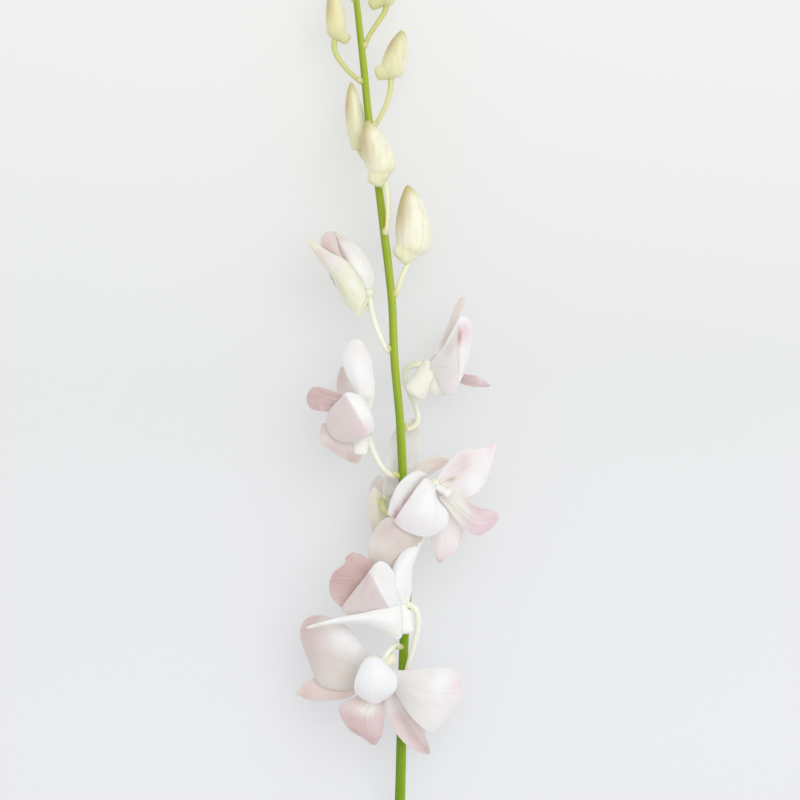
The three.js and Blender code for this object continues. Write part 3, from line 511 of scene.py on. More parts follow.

# The sepals and petals are soft thin blades that grow round the top of the stalk. Each is drawn by its left
# edge, its midrib and its right edge, from base to tip. They are white to blush, with washes of colour, fine
# veins and a waxy sparkle. Many washes are painted light and shade as well as colour: the greys, and many of
# the taupe, sand, lilac, mauve and plum washes, are painted shade where a blade turns from the light or lies
# under another, and white washes paint light where a blade faces the lamp.
WHITE, ICE, PEARL, MIST_SHADE = tone(251, 251, 251), tone(247, 248, 250), tone(243, 242, 242), tone(235, 233, 231)
BLUSH, PINK, ROSE = tone(244, 237, 237), tone(245, 232, 236), tone(232, 210, 216)
LILAC, MAUVE, PLUM = tone(225, 214, 212), tone(214, 196, 194), tone(208, 189, 187)
BRICK, CRIMSON, BARK = tone(209, 185, 180), tone(199, 166, 163), tone(206, 185, 172)
TAN, SAND, TAUPE, ASH_SHADE = tone(230, 215, 210), tone(233, 226, 218), tone(221, 214, 208), tone(220, 221, 216)
CREAM, IVORY, BUTTER = tone(252, 252, 244), tone(242, 240, 228), tone(242, 241, 217)
LIME, OLIVE = tone(230, 234, 204), tone(201, 200, 140)

BLADE_ROWS, BLADE_COLUMNS = 32, 20
BLADE_THICKNESS, EDGE_THINNING, LOWEST = 0.55, 0.5, 0.36
TIP_ROUNDING, NOTCH_WIDTH = 0.07, 0.14
GROOVE_DEPTH, GROOVE_WIDTH = 0.2, 0.09
SWELLS, FINE_SWELLS, EDGE_RIPPLE = 0.4, 0.1, 0.55
FRILL, KEELS, KEEL_HEIGHT, KEEL_WIDTH = 0.4, (-0.22, 0, 0.22), 0.4, 0.07


def outline(left, midrib, right, *washes, **look):
    """What a blade is drawn from. Its three lines run from base to tip, and its washes, of its own colour
    and of painted light and shade, are laid on in turn, each a shade, its place (s, t), its reach both ways
    and its strength."""
    return {"lines": (left, midrib, right), "washes": washes, **look}


def along_line(points, s):
    """Places along a smooth line through evenly spaced points, at the shares s."""
    points = np.array(points, float)
    spans = len(points) - 1
    points = np.vstack([2 * points[0] - points[1], points, 2 * points[-1] - points[-2]])
    span = np.clip((s * spans).astype(int), 0, spans - 1)
    w = (s * spans - span)[:, None]
    before, start, end, after = (points[span + step] for step in range(4))
    return (
        (2 * w**3 - 3 * w**2 + 1) * start
        + (w**3 - 2 * w**2 + w) * (end - before) / 2
        + (3 * w**2 - 2 * w**3) * end
        + (w**3 - w**2) * (after - start) / 2
    )


def between_edges(spec, s, t):
    """Places on a blade, s from base to tip and t from its left edge at -1 to its right edge at 1. The
    crease takes it from the round of a leaf at 0 to flat sides with a fold at 1."""
    crease = spec.get("crease", 0)
    rounded = (t * (t - 1) / 2, 1 - t * t, t * (t + 1) / 2)
    folded = (np.maximum(-t, 0), 1 - abs(t), np.maximum(t, 0))
    found = 0
    for line, round_share, fold_share in zip(spec["lines"], rounded, folded):
        share = round_share + (fold_share - round_share) * crease
        found = found + along_line(line, s) * share[:, None]
    return found


def facing_of(spec, s, t):
    """The way that a blade's upper face looks at each place."""
    back, on = np.maximum(s - A_LITTLE_WAY, 0), np.minimum(s + A_LITTLE_WAY, 1)
    left, right = np.maximum(t - A_LITTLE_WAY, -1), np.minimum(t + A_LITTLE_WAY, 1)
    ahead = between_edges(spec, on, t) - between_edges(spec, back, t)
    across = between_edges(spec, s, right) - between_edges(spec, s, left)
    normal = np.cross(across, ahead)
    normal /= np.linalg.norm(normal, axis=1)[:, None] + 1e-12
    return normal if normal[:, 2].mean() > 0 else -normal


def noise_over(s, t, seed, s_scale, t_scale):
    return np.array([noise.noise(Vector((s_scale * a, t_scale * b, seed))) for a, b in zip(s, t)])


def bump(value, middle, width):
    """1 at the middle, fading out to both sides."""
    return np.exp(-(((value - middle) / width) ** 2))


def relief_of(kind, s, t, seed):
    """How far a blade stands out from its smooth form: a groove down its midrib, a soft unevenness, edges
    that ripple, and on a lip three keels and a frill."""
    inside = np.sin(np.pi * np.clip(s * 1.1, 0, 1))
    out = -GROOVE_DEPTH * bump(t, 0, GROOVE_WIDTH) * (1 - s) ** 0.5
    out += SWELLS * noise_over(s, t, seed, 3, 1.6) * inside
    out += FINE_SWELLS * noise_over(s, t, seed + 5, 2, 9) * inside
    out += EDGE_RIPPLE * abs(t) ** 3 * noise_over(s, t > 0, seed + 9, 5.5, 4) * inside
    if kind == "lip":
        out += FRILL * t**2 * smooth_step(0.4, 0.75, s) * np.sin(24 * s + 3 * t + seed)
        keels = sum(bump(t, keel, KEEL_WIDTH) for keel in KEELS)
        out += KEEL_HEIGHT * keels * smooth_step(0.04, 0.15, s) * (1 - smooth_step(0.5, 0.68, s))
    return out


def raised_places(kind, spec, s, t):
    """Places on a blade with its relief, kept off the table. Its tip is rounded, and may have a notch."""
    seed = float(spec["lines"][1][-1][0])
    notch_at, notch_depth = spec.get("notch", (0, 0))
    s = s - TIP_ROUNDING * t**6 * smooth_step(0.72, 1, s)
    s = s - notch_depth * bump(t, notch_at, NOTCH_WIDTH) * smooth_step(0.6, 1, s)
    places = between_edges(spec, s, t) + facing_of(spec, s, t) * relief_of(kind, s, t, seed)[:, None]
    places[:, 2] = np.maximum(places[:, 2], LOWEST - spec["foot"][2])
    return places


def modify(piece, kind, **settings):
    """Adds a modifier to the active piece and applies it."""
    added = piece.modifiers.new(kind.lower(), kind)
    for name, value in settings.items():
        setattr(added, name, value)
    bpy.ops.object.modifier_apply(modifier=added.name)


def blade(kind, spec):
    """A sepal, petal or lip: a grid laid over its edges and midrib, thickened and rounded off."""
    bpy.ops.object.select_all(action="DESELECT")
    bpy.ops.mesh.primitive_grid_add(x_subdivisions=BLADE_COLUMNS, y_subdivisions=BLADE_ROWS, size=2)
    piece = bpy.context.object
    flat = np.array([vertex.co for vertex in piece.data.vertices])
    t, s = flat[:, 0], (flat[:, 1] + 1) / 2
    places = raised_places(kind, spec, s, t) + np.array(spec["foot"]) + np.array(MIDDLE)
    piece.data.vertices.foreach_set("co", (places * 0.001).ravel())

    thick = piece.vertex_groups.new(name="thick")
    for index, across in enumerate(t):
        thick.add([index], 1 - EDGE_THINNING * across * across, "REPLACE")
    modify(piece, "SOLIDIFY", thickness=BLADE_THICKNESS * 0.001, offset=0, vertex_group="thick")
    modify(piece, "SUBSURF", levels=1, render_levels=1)
    bpy.ops.object.shade_smooth()
    paint_blade(piece, spec)
    return piece


def paint_blade(piece, spec):
    """Washes of colour, painted light and painted shade over a blade. A panel is all that lies on the tip
    side of a line, where a blade is folded over, painted in the light or shade that the folded part takes,
    and further washes go over it."""
    layer = piece.data.uv_layers.active.data
    uv = np.empty(2 * len(layer), np.float32)
    layer.foreach_get("uv", uv)
    t, s = 2 * uv[0::2] - 1, np.clip(uv[1::2], 0, 1)
    colour = np.tile(np.array(spec.get("tone", WHITE)), (len(s), 1))

    def wash(shade, share):
        nonlocal colour
        colour = colour + (np.array(shade) - colour) * np.clip(share, 0, 1)[:, None]

    def washes(rows):
        for shade, s0, t0, reach_s, reach_t, strength in rows:
            wash(shade, strength * np.exp(-(((s - s0) / reach_s) ** 2) - ((t - t0) / reach_t) ** 2))

    washes(spec["washes"])
    for shade, (s0, t0), (s1, t1), strength in spec.get("panels", []):
        beside = (s - s0) * (t1 - t0) - (t - t0) * (s1 - s0)
        wash(shade, strength * smooth_step(-0.02, 0.02, beside / math.hypot(s1 - s0, t1 - t0)))
    washes(spec.get("over", []))
    tint_corners(piece, colour)


def petal_material(name, vein_shade, vein_strength, roughness):
    """Soft flesh tinted by the washes, with fine veins along it, faint clouds and a waxy sparkle."""
    material, tree, where = new_material(name)
    veins = mottle(tree, stretched(tree, where["UV"], (26, 1.4, 1)), 1.0)
    vein_share = share_between(tree, veins, 0.5, 0.72, vein_strength)
    veined = mixed(tree, vein_share, tint_of(tree), (*vein_shade, 1), "MULTIPLY")
    cloud_share = share_between(tree, mottle(tree, where["Object"], 150.0), 0.45, 0.8, 0.5)
    cells = relief(tree, mottle(tree, where["Object"], 2600.0), 0.12, 0.0001)
    finish_skin(
        tree,
        {
            "Base Color": mixed(tree, cloud_share, veined, (*tone(250, 245, 246), 1), "MULTIPLY"),
            "Roughness": roughness,
            "Normal": relief(tree, veins, 0.25, under=cells),
            "Specular IOR Level": 0.25,
            "Subsurface Weight": 0.4,
            "Subsurface Radius": (1, 0.8, 0.8),
            "Subsurface Scale": 0.0012,
            "Sheen Weight": 0.1,
        },
    )
    return material


petal_flesh = petal_material("white_petal_flesh", tone(240, 226, 230), 0.25, 0.5)
lip_flesh = petal_material("rose_lip_flesh", tone(230, 200, 208), 0.45, 0.45)


def join_as(name, pieces):
    bpy.ops.object.select_all(action="DESELECT")
    for piece in pieces:
        piece.select_set(True)
    bpy.context.view_layer.objects.active = pieces[0]
    bpy.ops.object.join()
    pieces[0].name = name
    return pieces[0]


def melt_together(pieces, voxel, name):
    """Joins fleshy rods into one skin with soft creases."""
    lump = join_as(name, pieces)
    modify(lump, "REMESH", mode="VOXEL", voxel_size=voxel * 0.001)
    modify(lump, "SMOOTH", factor=0.5, iterations=8)
    bpy.ops.object.shade_smooth()
    return lump


def rounded_ends(share, squareness):
    """A rod's radius along it, from 1 in the middle to nearly nothing at both ends."""
    return math.sqrt(max(1 - abs((share - 0.5) / 0.5) ** squareness, 0.02))


def chin_rod(start, end, radii):
    start, end = Vector(start), Vector(end)

    def radius_at(share, turn):
        return (radii[0] + (radii[1] - radii[0]) * share) * rounded_ends(share, 8)

    return rolled("chin", straight(start, end), radius_at, around=20, along=20)


OVARY_RADIUS, OVARY_VOXEL = 2.6, 0.4


def ovary_with_chin(foot, chin, radii, shade):
    """The round top of the stalk and the chin that the side sepals make under the column."""
    bpy.ops.object.select_all(action="DESELECT")
    size = OVARY_RADIUS * 0.001
    bpy.ops.mesh.primitive_uv_sphere_add(segments=20, ring_count=12, radius=size, location=place(foot))
    ball = bpy.context.object
    bpy.ops.object.transform_apply(location=True, rotation=True, scale=True)
    start, end = (Vector(point) + Vector(foot) for point in chin)
    lump = melt_together([ball, chin_rod(start, end, radii)], OVARY_VOXEL, "ovary")
    tint_evenly(lump, shade)
    return lump


HAIRS, HAIR_FOOT, HAIR_TIP, HAIR_LENGTH, HAIR_STANDS = 26, 0.11, 0.03, 1.3, 0.5
CREST_FROM, CREST_TO, CREST_SIDE = 0.3, 0.56, 0.3


def crest_hairs(spec):
    """Short stiff hairs that stand on the crest of a lip."""
    chance = random.Random(7)
    bpy.ops.object.select_all(action="DESELECT")
    foot, tip, length = (size * 0.001 for size in (HAIR_FOOT, HAIR_TIP, HAIR_LENGTH))
    bpy.ops.mesh.primitive_cone_add(vertices=5, radius1=foot, radius2=tip, depth=length)
    first = bpy.context.object
    hairs = []
    for number in range(HAIRS):
        s = np.array([chance.uniform(CREST_FROM, CREST_TO)])
        t = np.array([chance.uniform(-CREST_SIDE, CREST_SIDE)])
        root = raised_places("lip", spec, s, t)[0]
        lean = Vector(facing_of(spec, s, t)[0]) + Vector([chance.uniform(-0.5, 0.5) for axis in range(3)])
        at = place(Vector(root) + Vector(spec["foot"]) + lean.normalized() * HAIR_STANDS)
        hair = first.copy()
        hair.data = first.data.copy()
        bpy.context.collection.objects.link(hair)
        turned = lean.to_track_quat("Z", "Y").to_matrix().to_4x4()
        hair.data.transform(Matrix.Translation(at) @ turned @ Matrix.Scale(chance.uniform(0.6, 1), 4))
        tint_evenly(hair, CREAM)
        hairs.append(hair)
    bpy.data.objects.remove(first)
    return hairs


COLUMN_RADIUS, COLUMN_SLIMNESS, COLUMN_FLATNESS = 1.85, 0.9, 0.12
CAP_FROM, CAP_MIDDLE, CAP_SWELL = 0.7, 0.75, 1.1
NECK_AT, NECK_WIDTH, NECK_DEPTH = 0.72, 0.04, 0.2


def column_rod(foot, ends):
    """The column is a short waxy finger, flatter underneath, with a neck and a round cap at its end."""
    start, end = (Vector(point) + Vector(foot) for point in ends)

    def radius_at(share, turn):
        swell = COLUMN_SLIMNESS if share < CAP_FROM else CAP_SWELL - 2.2 * (share - CAP_MIDDLE) ** 2
        neck = 1 - NECK_DEPTH * math.exp(-(((share - NECK_AT) / NECK_WIDTH) ** 2))
        underside = 1 - COLUMN_FLATNESS * max(0, -math.cos(turn))
        return COLUMN_RADIUS * swell * neck * rounded_ends(share, 10) * underside

    return rolled("column", straight(start, end), radius_at, around=20, along=30)


def grow_bloom(name, foot, chin, chin_radii, ovary_tone, lip=None, column=None, **tepals):
    blades = [blade("tepal", {**tepal, "foot": foot}) for tepal in tepals.values()]
    ovary = ovary_with_chin(foot, chin, chin_radii, ovary_tone)
    flower = join_as(f"{name}_sepals_and_petals", [*blades, ovary])
    finish_piece(flower, f"{name}_tepals", petal_flesh)
    if lip is None:
        return
    lip = {**lip, "foot": foot}
    frilled = join_as(f"{name}_frilled_lip", [blade("lip", lip), *crest_hairs(lip)])
    finish_piece(frilled, f"{name}_lip", lip_flesh)
    capped = column_rod(foot, column)
    capped.name = f"{name}_capped_column"
    tint_evenly(capped, CREAM)
    finish_piece(capped, f"{name}_column", petal_flesh)


# The lowest bloom faces up. A white hood of a top sepal bends over its dusty rose lip, the two petals
# spread flat to the sides, and the two side sepals reach past the lip.
grow_bloom(
    "bloom_1",
    foot=(-8.4, -111.7, 30),
    dorsal=outline(
        [(1.2, 0, 1.4), (3.4, 0.8, 10), (7.1, -3.8, 13), (6.3, -9.3, 13), (0.4, -14.3, 9)],
        [(0, 0.4, 1), (-0.8, 4.6, 13), (-1.3, -0.4, 18), (-1.7, -8.4, 17), (-2.5, -14.7, 11)],
        [(-1, 0.3, 1.6), (-5, 4.2, 11), (-9.7, -1.7, 14), (-10.5, -9.3, 13), (-5.9, -13.9, 9)],
        # Painted light and shade on the hood: grey towards its edges, white over its middle.
        (MIST_SHADE, 0.72, 0.83, 0.09, 0.27, 0.7), (PEARL, 0.92, 0.2, 0.12, 0.57, 0.7),
        (WHITE, 0.58, -0.02, 0.12, 0.42, 0.6),
        tone=ICE,
    ),
    left_petal=outline(
        [(-1, -1.6, -0.3), (-12.6, -10.1, -2), (-24.4, -8.8, -3), (-29, -0.9, -3), (-32.3, 8.4, -2)],
        [(-1.1, -1, -0.2), (-11.8, 0.8, 3), (-21, 5.9, 3), (-27.7, 10.5, 1), (-33.6, 14.3, -1.5)],
        [(-1.3, 0.8, -1), (-6.3, 7.1, 1), (-12.2, 15.5, 2), (-21.8, 21, 1), (-31.1, 21.4, -2)],
        # The plum and mauve along its far edge are partly its own flush and partly painted shade where it
        # rolls under, and the grey near its base is painted shade.
        (PLUM, 0.9, 0.78, 0.11, 0.58, 0.95), (MAUVE, 0.81, -0.27, 0.25, 0.7, 0.7),
        (LILAC, 0.62, 0.1, 0.13, 0.32, 0.5), (PEARL, 0.48, 0.65, 0.15, 0.46, 1),
        (PEARL, 0.32, 0.7, 0.09, 0.38, 0.7), (ASH_SHADE, 0.19, 0.3, 0.09, 0.55, 0.9),
        (SAND, 0.37, -0.7, 0.12, 0.4, 0.8), (PLUM, 0.94, 0.12, 0.09, 0.32, 0.35),
        tone=TAUPE,
    ),
    right_petal=outline(
        [(1.6, -1, -0.4), (11.8, -1.7, 0), (20.2, -0.4, 1), (27.7, 0, 1), (33.2, -2.1, -1)],
        [(1, -1.1, -0.1), (11.8, -8.4, 1.5), (19.7, -10.9, 2.5), (27.7, -11.8, 2), (34.4, -10.9, -1)],
        [(0.9, -1.6, -0.2), (9.2, -16, 0), (15.1, -23.5, 0), (21.8, -28.2, -1), (30.2, -21.9, -2)],
        # The grey near its base is painted shade.
        (ASH_SHADE, 0.18, 0.7, 0.12, 1.12, 0.8), (ASH_SHADE, 0.38, 0.53, 0.13, 0.38, 0.6),
        (ICE, 0.65, -0.4, 0.16, 0.42, 0.9), (SAND, 0.52, -0.75, 0.05, 0.16, 0.6),
        (PINK, 0.9, -0.2, 0.15, 0.34, 0.9), (ROSE, 0.94, -0.42, 0.07, 0.17, 0.5),
        (BLUSH, 0.43, 0.15, 0.11, 0.3, 0.4), (PEARL, 0.68, 0.5, 0.19, 0.35, 0.6),
        tone=MIST_SHADE,
    ),
    left_lateral=outline(
        [(-0.6, -1.7, -0.7), (-11.8, -13, -5), (-20.2, -14.7, -6), (-28.6, -15.1, -7), (-35.7, -12.2, -8)],
        [(-0.5, -1.2, -0.7), (-12.6, -9.3, -4), (-21, -10.1, -4), (-28.6, -10.5, -5), (-35.7, -12.2, -8)],
        [(-0.8, -1.3, -1.2), (-12.6, -4.6, -5), (-21.8, -4.6, -5), (-28.6, -5.5, -6), (-35.3, -10.9, -8)],
        (MAUVE, 0.87, -0.38, 0.13, 1.35, 0.45), (LIME, 0.98, 0.07, 0.06, 0.84, 0.7),
        (SAND, 0.25, -0.45, 0.09, 1.1, 0.7),
        tone=TAN,
    ),
    right_lateral=outline(
        [(1, -1.5, -0.6), (13.4, -16.8, -1.5), (17.2, -23.5, -2), (19.7, -30.3, -3), (21.4, -36.6, -5)],
        [(0.4, -1.4, -0.5), (7.6, -18.5, -4.5), (11.8, -25.2, -5), (16, -31.5, -5), (21, -37.4, -5)],
        [(0, -1.8, -0.5), (2.5, -19.3, -2.5), (6.3, -27.7, -3), (11.8, -34, -4), (19.7, -37.8, -5)],
        (MIST_SHADE, 0.22, 0.3, 0.08, 1.03, 0.9), (MAUVE, 0.43, 0.12, 0.23, 0.28, 0.85),
        (PLUM, 0.69, 0.12, 0.17, 0.32, 0.7), (PLUM, 0.91, -0.1, 0.1, 1.43, 0.7),
        (TAN, 0.49, 0.8, 0.08, 0.41, 0.5), (BRICK, 0.94, -0.17, 0.06, 0.84, 0.5),
        tone=LILAC, crease=0.7,
    ),
    lip=outline(
        [(-3.4, -9.3, 4), (-11.8, -12.6, 7), (-17.2, -16.8, 6), (-13.9, -24.8, 4), (-4.2, -31.9, 2)],
        [(-1.3, -10.1, 2), (-3.8, -16, 3.5), (-5.9, -21.4, 4.5), (-5, -27.7, 4), (-2.1, -32.8, 2)],
        [(1.3, -9.7, 4), (2.5, -14.3, 6), (2.1, -20.2, 5.5), (1.3, -26.9, 4), (-0.4, -31.1, 2)],
        (CREAM, 0.32, 0, 0.16, 0.67, 1), (CRIMSON, 0.76, -0.65, 0.07, 0.26, 0.7),
        (ROSE, 0.6, 0.5, 0.19, 0.38, 0.75), (PLUM, 0.9, -0.05, 0.1, 0.57, 0.6),
        (BRICK, 0.59, -0.2, 0.16, 0.16, 0.35), (ROSE, 0.43, -0.78, 0.12, 0.22, 0.35),
        tone=MAUVE,
    ),
    column=[(0, -1.5, 3), (-1.5, -8, 9)], chin=[(0.5, 1, 0), (6.5, 4, -2)], chin_radii=(3.2, 2.6),
    ovary_tone=BUTTER,
)

# The second bloom looks to the left, on a stalk that loops over the stem. Its white top sepal stands
# behind the stem, a folded petal shuts like a flap over the brown-rose lip, and a long side sepal is bent
# over the bloom below.
grow_bloom(
    "bloom_2",
    foot=(0.8, -86.5, 33.5),
    dorsal=outline(
        [(-0.8, 0.8, 1.6), (-6.3, 7.1, 4.5), (-4.2, 15.9, 4.5), (0.9, 23.9, 2.5), (6.8, 28.1, -0.5)],
        [(0.5, 0.5, 1.3), (-0.8, 7.5, 6.5), (0, 15.1, 6.5), (3.8, 22.2, 4.5), (7.6, 27.3, -0.5)],
        [(2.8, 0.6, 0.6), (4.4, 7.5, 2.5), (4.2, 14.3, 2.5), (6.3, 21, 1.5), (8, 26.4, -0.5)],
        (MIST_SHADE, 0.21, -0.92, 0.14, 0.24, 0.5), (ICE, 0.55, 0, 0.13, 1.04, 0.6),
    ),
    left_petal=outline(
        [(-0.4, 1.4, 1.2), (-2.9, 13.8, 6.5), (-9.2, 19.7, 9.5), (-15.9, 12.2, 9.5), (-25.2, 0.4, 6.5)],
        [(0, 0.4, 1.4), (-4.6, 7.1, 9.5), (-10.9, 9.2, 14), (-17.2, 3.8, 11.5), (-24.7, -1.3, 6.5)],
        [(0, -1.7, 0.5), (-4.6, -0.4, 6.5), (-10, -0.9, 7.5), (-16.3, -4.1, 6.5), (-22.6, -3.8, 6.5)],
        (BLUSH, 0.46, -0.38, 0.17, 0.45, 0.8),
        # The lilac panel is painted shade over the folded-down half of the petal.
        crease=0.3, panels=[(LILAC, (0.68, -1), (0.31, 0.83), 0.97)],
        over=[
            (MAUVE, 0.56, 0.23, 0.06, 0.21, 0.5), (MAUVE, 0.71, -0.48, 0.07, 0.32, 0.5),
            (TAUPE, 0.88, 0.18, 0.13, 0.77, 0.4),
        ],
    ),
    right_petal=outline(
        [(-0.6, 1.5, -1), (-9.2, 12.2, -0.5), (-14.2, 21.4, 1.5), (-12.6, 29.8, 2.5), (-7.5, 38.2, 2.5)],
        [(-0.1, 1.1, -1), (-3.3, 13.4, 0.5), (-4.6, 22.2, 3.5), (-2.9, 30.2, 4.5), (-0.8, 36.9, 3.5)],
        [(0.3, 1.6, -0.9), (2.6, 13.4, -1.5), (5.5, 22.2, 0.5), (7.6, 29, 2), (5.9, 35.7, 2.5)],
        # This petal lies in shade under the bloom above, so its taupe, sand, mauve and bark are painted
        # shade.
        (SAND, 0.62, -0.72, 0.15, 0.51, 0.8), (MAUVE, 0.81, -0.42, 0.13, 0.46, 0.6),
        (MAUVE, 0.64, 0.35, 0.13, 0.24, 0.4), (BARK, 0.69, 0.85, 0.08, 0.19, 0.7),
        (SAND, 0.46, -0.25, 0.13, 0.45, 0.6),
        tone=TAUPE,
    ),
    left_lateral=outline(
        [(0, 0.6, 1.8), (-3.3, 0.8, 6.5), (-14.7, -1.7, 9), (-27.3, -4.2, 9), (-39.4, -7.6, 6.5)],
        [(0.3, -0.5, 1.4), (-2.1, -5.5, 7.5), (-13.8, -4.6, 10.5), (-26.8, -5.5, 9.5), (-39.9, -8.4, 6.5)],
        [(0.6, -1.5, 1), (-0.8, -13.5, 1.5), (-12.1, -8, 5.5), (-26.4, -6.7, 7.5), (-39.4, -8.8, 6.5)],
        # Cream along its top rim is painted light, and the grey and lime along its lower edge are painted
        # shade on its underside.
        (CREAM, 0.39, -1, 0.16, 0.54, 0.9), (CREAM, 0.18, 0.43, 0.14, 0.6, 0.9),
        (TAUPE, 0.91, 0.07, 0.06, 1.68, 0.6), (ASH_SHADE, 0.71, 1, 0.22, 0.63, 0.45),
        (LIME, 0.37, 0.83, 0.11, 0.22, 0.6),
        crease=0.6,
    ),
    right_lateral=outline(
        [(0.3, -8.9, 0.3), (-9.4, -3.7, -3.1), (-16.2, 0.1, -6.8), (-20.9, 2.4, -11.5), (-24.2, 5.9, -16.7)],
        [(2, -8, -2), (-6.6, -2.4, -6.6), (-13.2, 1.2, -10.6), (-18.8, 3.8, -14.1), (-24, 6, -17)],
        [(3.9, -6.4, -3.7), (-3.7, -0.2, -9.4), (-10.2, 4, -13.4), (-16.6, 5.9, -16.1), (-23.8, 6.2, -17.2)],
        tone=PEARL,
    ),
    lip=outline(
        [(-2.1, 3.8, 1.5), (-7.1, 11.3, 3.5), (-12.1, 18.5, 4.5), (-17.2, 22.2, 3.5), (-22.2, 23.1, 2.5)],
        [(-1.6, 2.1, 0.5), (-9.2, 5.9, 2.5), (-16.8, 9.2, 3.5), (-23.9, 10.9, 3.5), (-30.2, 10.5, 2.5)],
        [(-1.6, 0.4, 0.5), (-9.2, 0, 2.5), (-16.8, -0.9, 3.5), (-22.2, -1.3, 3.5), (-26.8, 0.8, 2.5)],
        (CRIMSON, 0.62, 0.1, 0.23, 0.15, 0.35), (MAUVE, 0.94, 0.45, 0.16, 0.35, 0.6),
        (TAUPE, 0.93, 0.85, 0.12, 0.21, 0.4), (MAUVE, 0.77, -0.85, 0.15, 0.23, 0.45),
        (PLUM, 0.9, -0.1, 0.12, 0.24, 0.4),
        tone=BRICK, notch=(-0.62, 0.13),
    ),
    column=[(-1, 1, 0), (-8, 0.5, 1)], chin=[(0.5, -1, 0), (2, -11.5, 1)], chin_radii=(3.9, 3.2),
    ovary_tone=CREAM,
)

# The third bloom looks down at the table behind the stem, so its sepals and petals show their dull backs,
# painted sand and tan for the shade they lie in, with an olive mark where the side sepals part.
grow_bloom(
    "bloom_3",
    foot=(-7.1, -42, 24),
    dorsal=outline(
        [(-0.4, 1.9, 0), (1.2, 16, -1), (2.9, 25.2, -3), (7.1, 31.9, -4), (12.6, 34.4, -5)],
        [(0.5, 1.3, -0.6), (7.1, 14.3, -2), (9.6, 22.3, -3), (11.3, 29, -4), (13.4, 34, -5)],
        [(1.5, 1.1, -0.4), (12.1, 10.5, -2), (15.5, 18.9, -2), (15.5, 26.9, -3), (14.7, 32.3, -5)],
        # The white near its base is painted light that lifts the shadow the stem casts there.
        (TAN, 0.91, 0.48, 0.1, 0.71, 0.8), (WHITE, 0.32, -0.68, 0.16, 0.3, 0.8),
        tone=MIST_SHADE,
    ),
    left_petal=outline(
        [(-0.1, 1.6, 0), (0.9, 7.6, -5), (-2.9, 9.7, -15.4), (-6, -0.6, -24.7), (6.3, -8.3, -24.8)],
        [(-0.5, 0.5, -1), (0.6, 1.9, -5.7), (1.8, 1.6, -13), (3.8, -1.3, -20.2), (7, -8, -24.5)],
        [(-0.5, -0.7, -1.9), (1.9, -3.7, -6.1), (9.1, -4.4, -10.6), (14.1, 0.4, -17.4), (7.7, -7.7, -24.4)],
        tone=SAND,
    ),
    right_petal=outline(
        [(1, 1.4, -0.8), (9.2, 9.2, 0.5), (17.2, 16.8, 1), (23.1, 18.5, 1), (28.1, 17.2, 0)],
        [(1.3, 0.5, -0.6), (10.5, 6.7, 0), (18, 12.2, 0.5), (23.1, 14.7, 0.5), (28.1, 16.4, 0)],
        [(1.6, -0.2, -1.1), (10.5, 3.8, -2), (15.9, 8, -1), (20.1, 10.5, -0.5), (27.3, 15.5, 0)],
        (TAN, 0.82, -0.3, 0.17, 1.05, 0.8), (TAN, 0.64, 0.48, 0.11, 0.4, 0.7),
        tone=SAND,
    ),
    left_lateral=outline(
        [(0.1, 1.9, 0.2), (-3.8, 5.5, 2), (-6.8, 0, 1), (-6.3, -6.7, 0), (-4.7, -13.4, -3)],
        [(0.4, 1.3, 0.6), (-1.3, 0, 3.5), (-2.6, -4.2, 3), (-3, -8.8, 1), (-3.8, -13.9, -3)],
        [(1.2, 1.4, 0.4), (2.1, -2.1, 2), (0.4, -6.3, 2), (-1.3, -9.7, 0.5), (-3, -13.9, -3)],
        (OLIVE, 0.28, -0.02, 0.14, 0.41, 0.95), (BUTTER, 0.54, 0.58, 0.38, 0.9, 0.95),
        (SAND, 0.44, -0.5, 0.07, 0.27, 0.6),
        tone=SAND,
    ),
    right_lateral=outline(
        [(-3.1, -2.9, -2.4), (-4, -7.7, -5.8), (-4.7, -10.8, -10.8),
         (-3.9, -14.9, -17), (-0.4, -19.1, -24.4)],
        [(0.5, -1.5, -2), (2, -6.6, -6.3), (1.7, -10.5, -11.8), (0.7, -14.3, -18.1), (0, -19, -24.5)],
        [(3.9, 0.3, -2.6), (7.4, -4.5, -7.7), (7.3, -8.3, -14), (4.8, -12.6, -19.9), (0.4, -18.8, -24.6)],
        tone=SAND,
    ),
    lip=outline(
        [(-4.1, 0.3, -1.7), (-6, -1.3, -6.1), (-7, -1.8, -10.6), (-7.1, -2.3, -13.8), (-3.2, -3.8, -17.7)],
        [(-1, -1.5, -2), (-1.9, -3.5, -5.6), (-2, -4.7, -10), (-2.1, -5, -14.4), (-3, -4, -18)],
        [(2.3, -2.6, -3), (2.5, -4.7, -5.5), (3.7, -5.7, -9.8), (3.6, -6.2, -15), (-2.7, -4.1, -18.3)],
        tone=TAN,
    ),
    column=[(0, 0, -1), (-2.5, -0.5, -7)], chin=[(0, 0, 0), (-2, -5, 1)], chin_radii=(2.6, 1.6),
    ovary_tone=LIME,
)

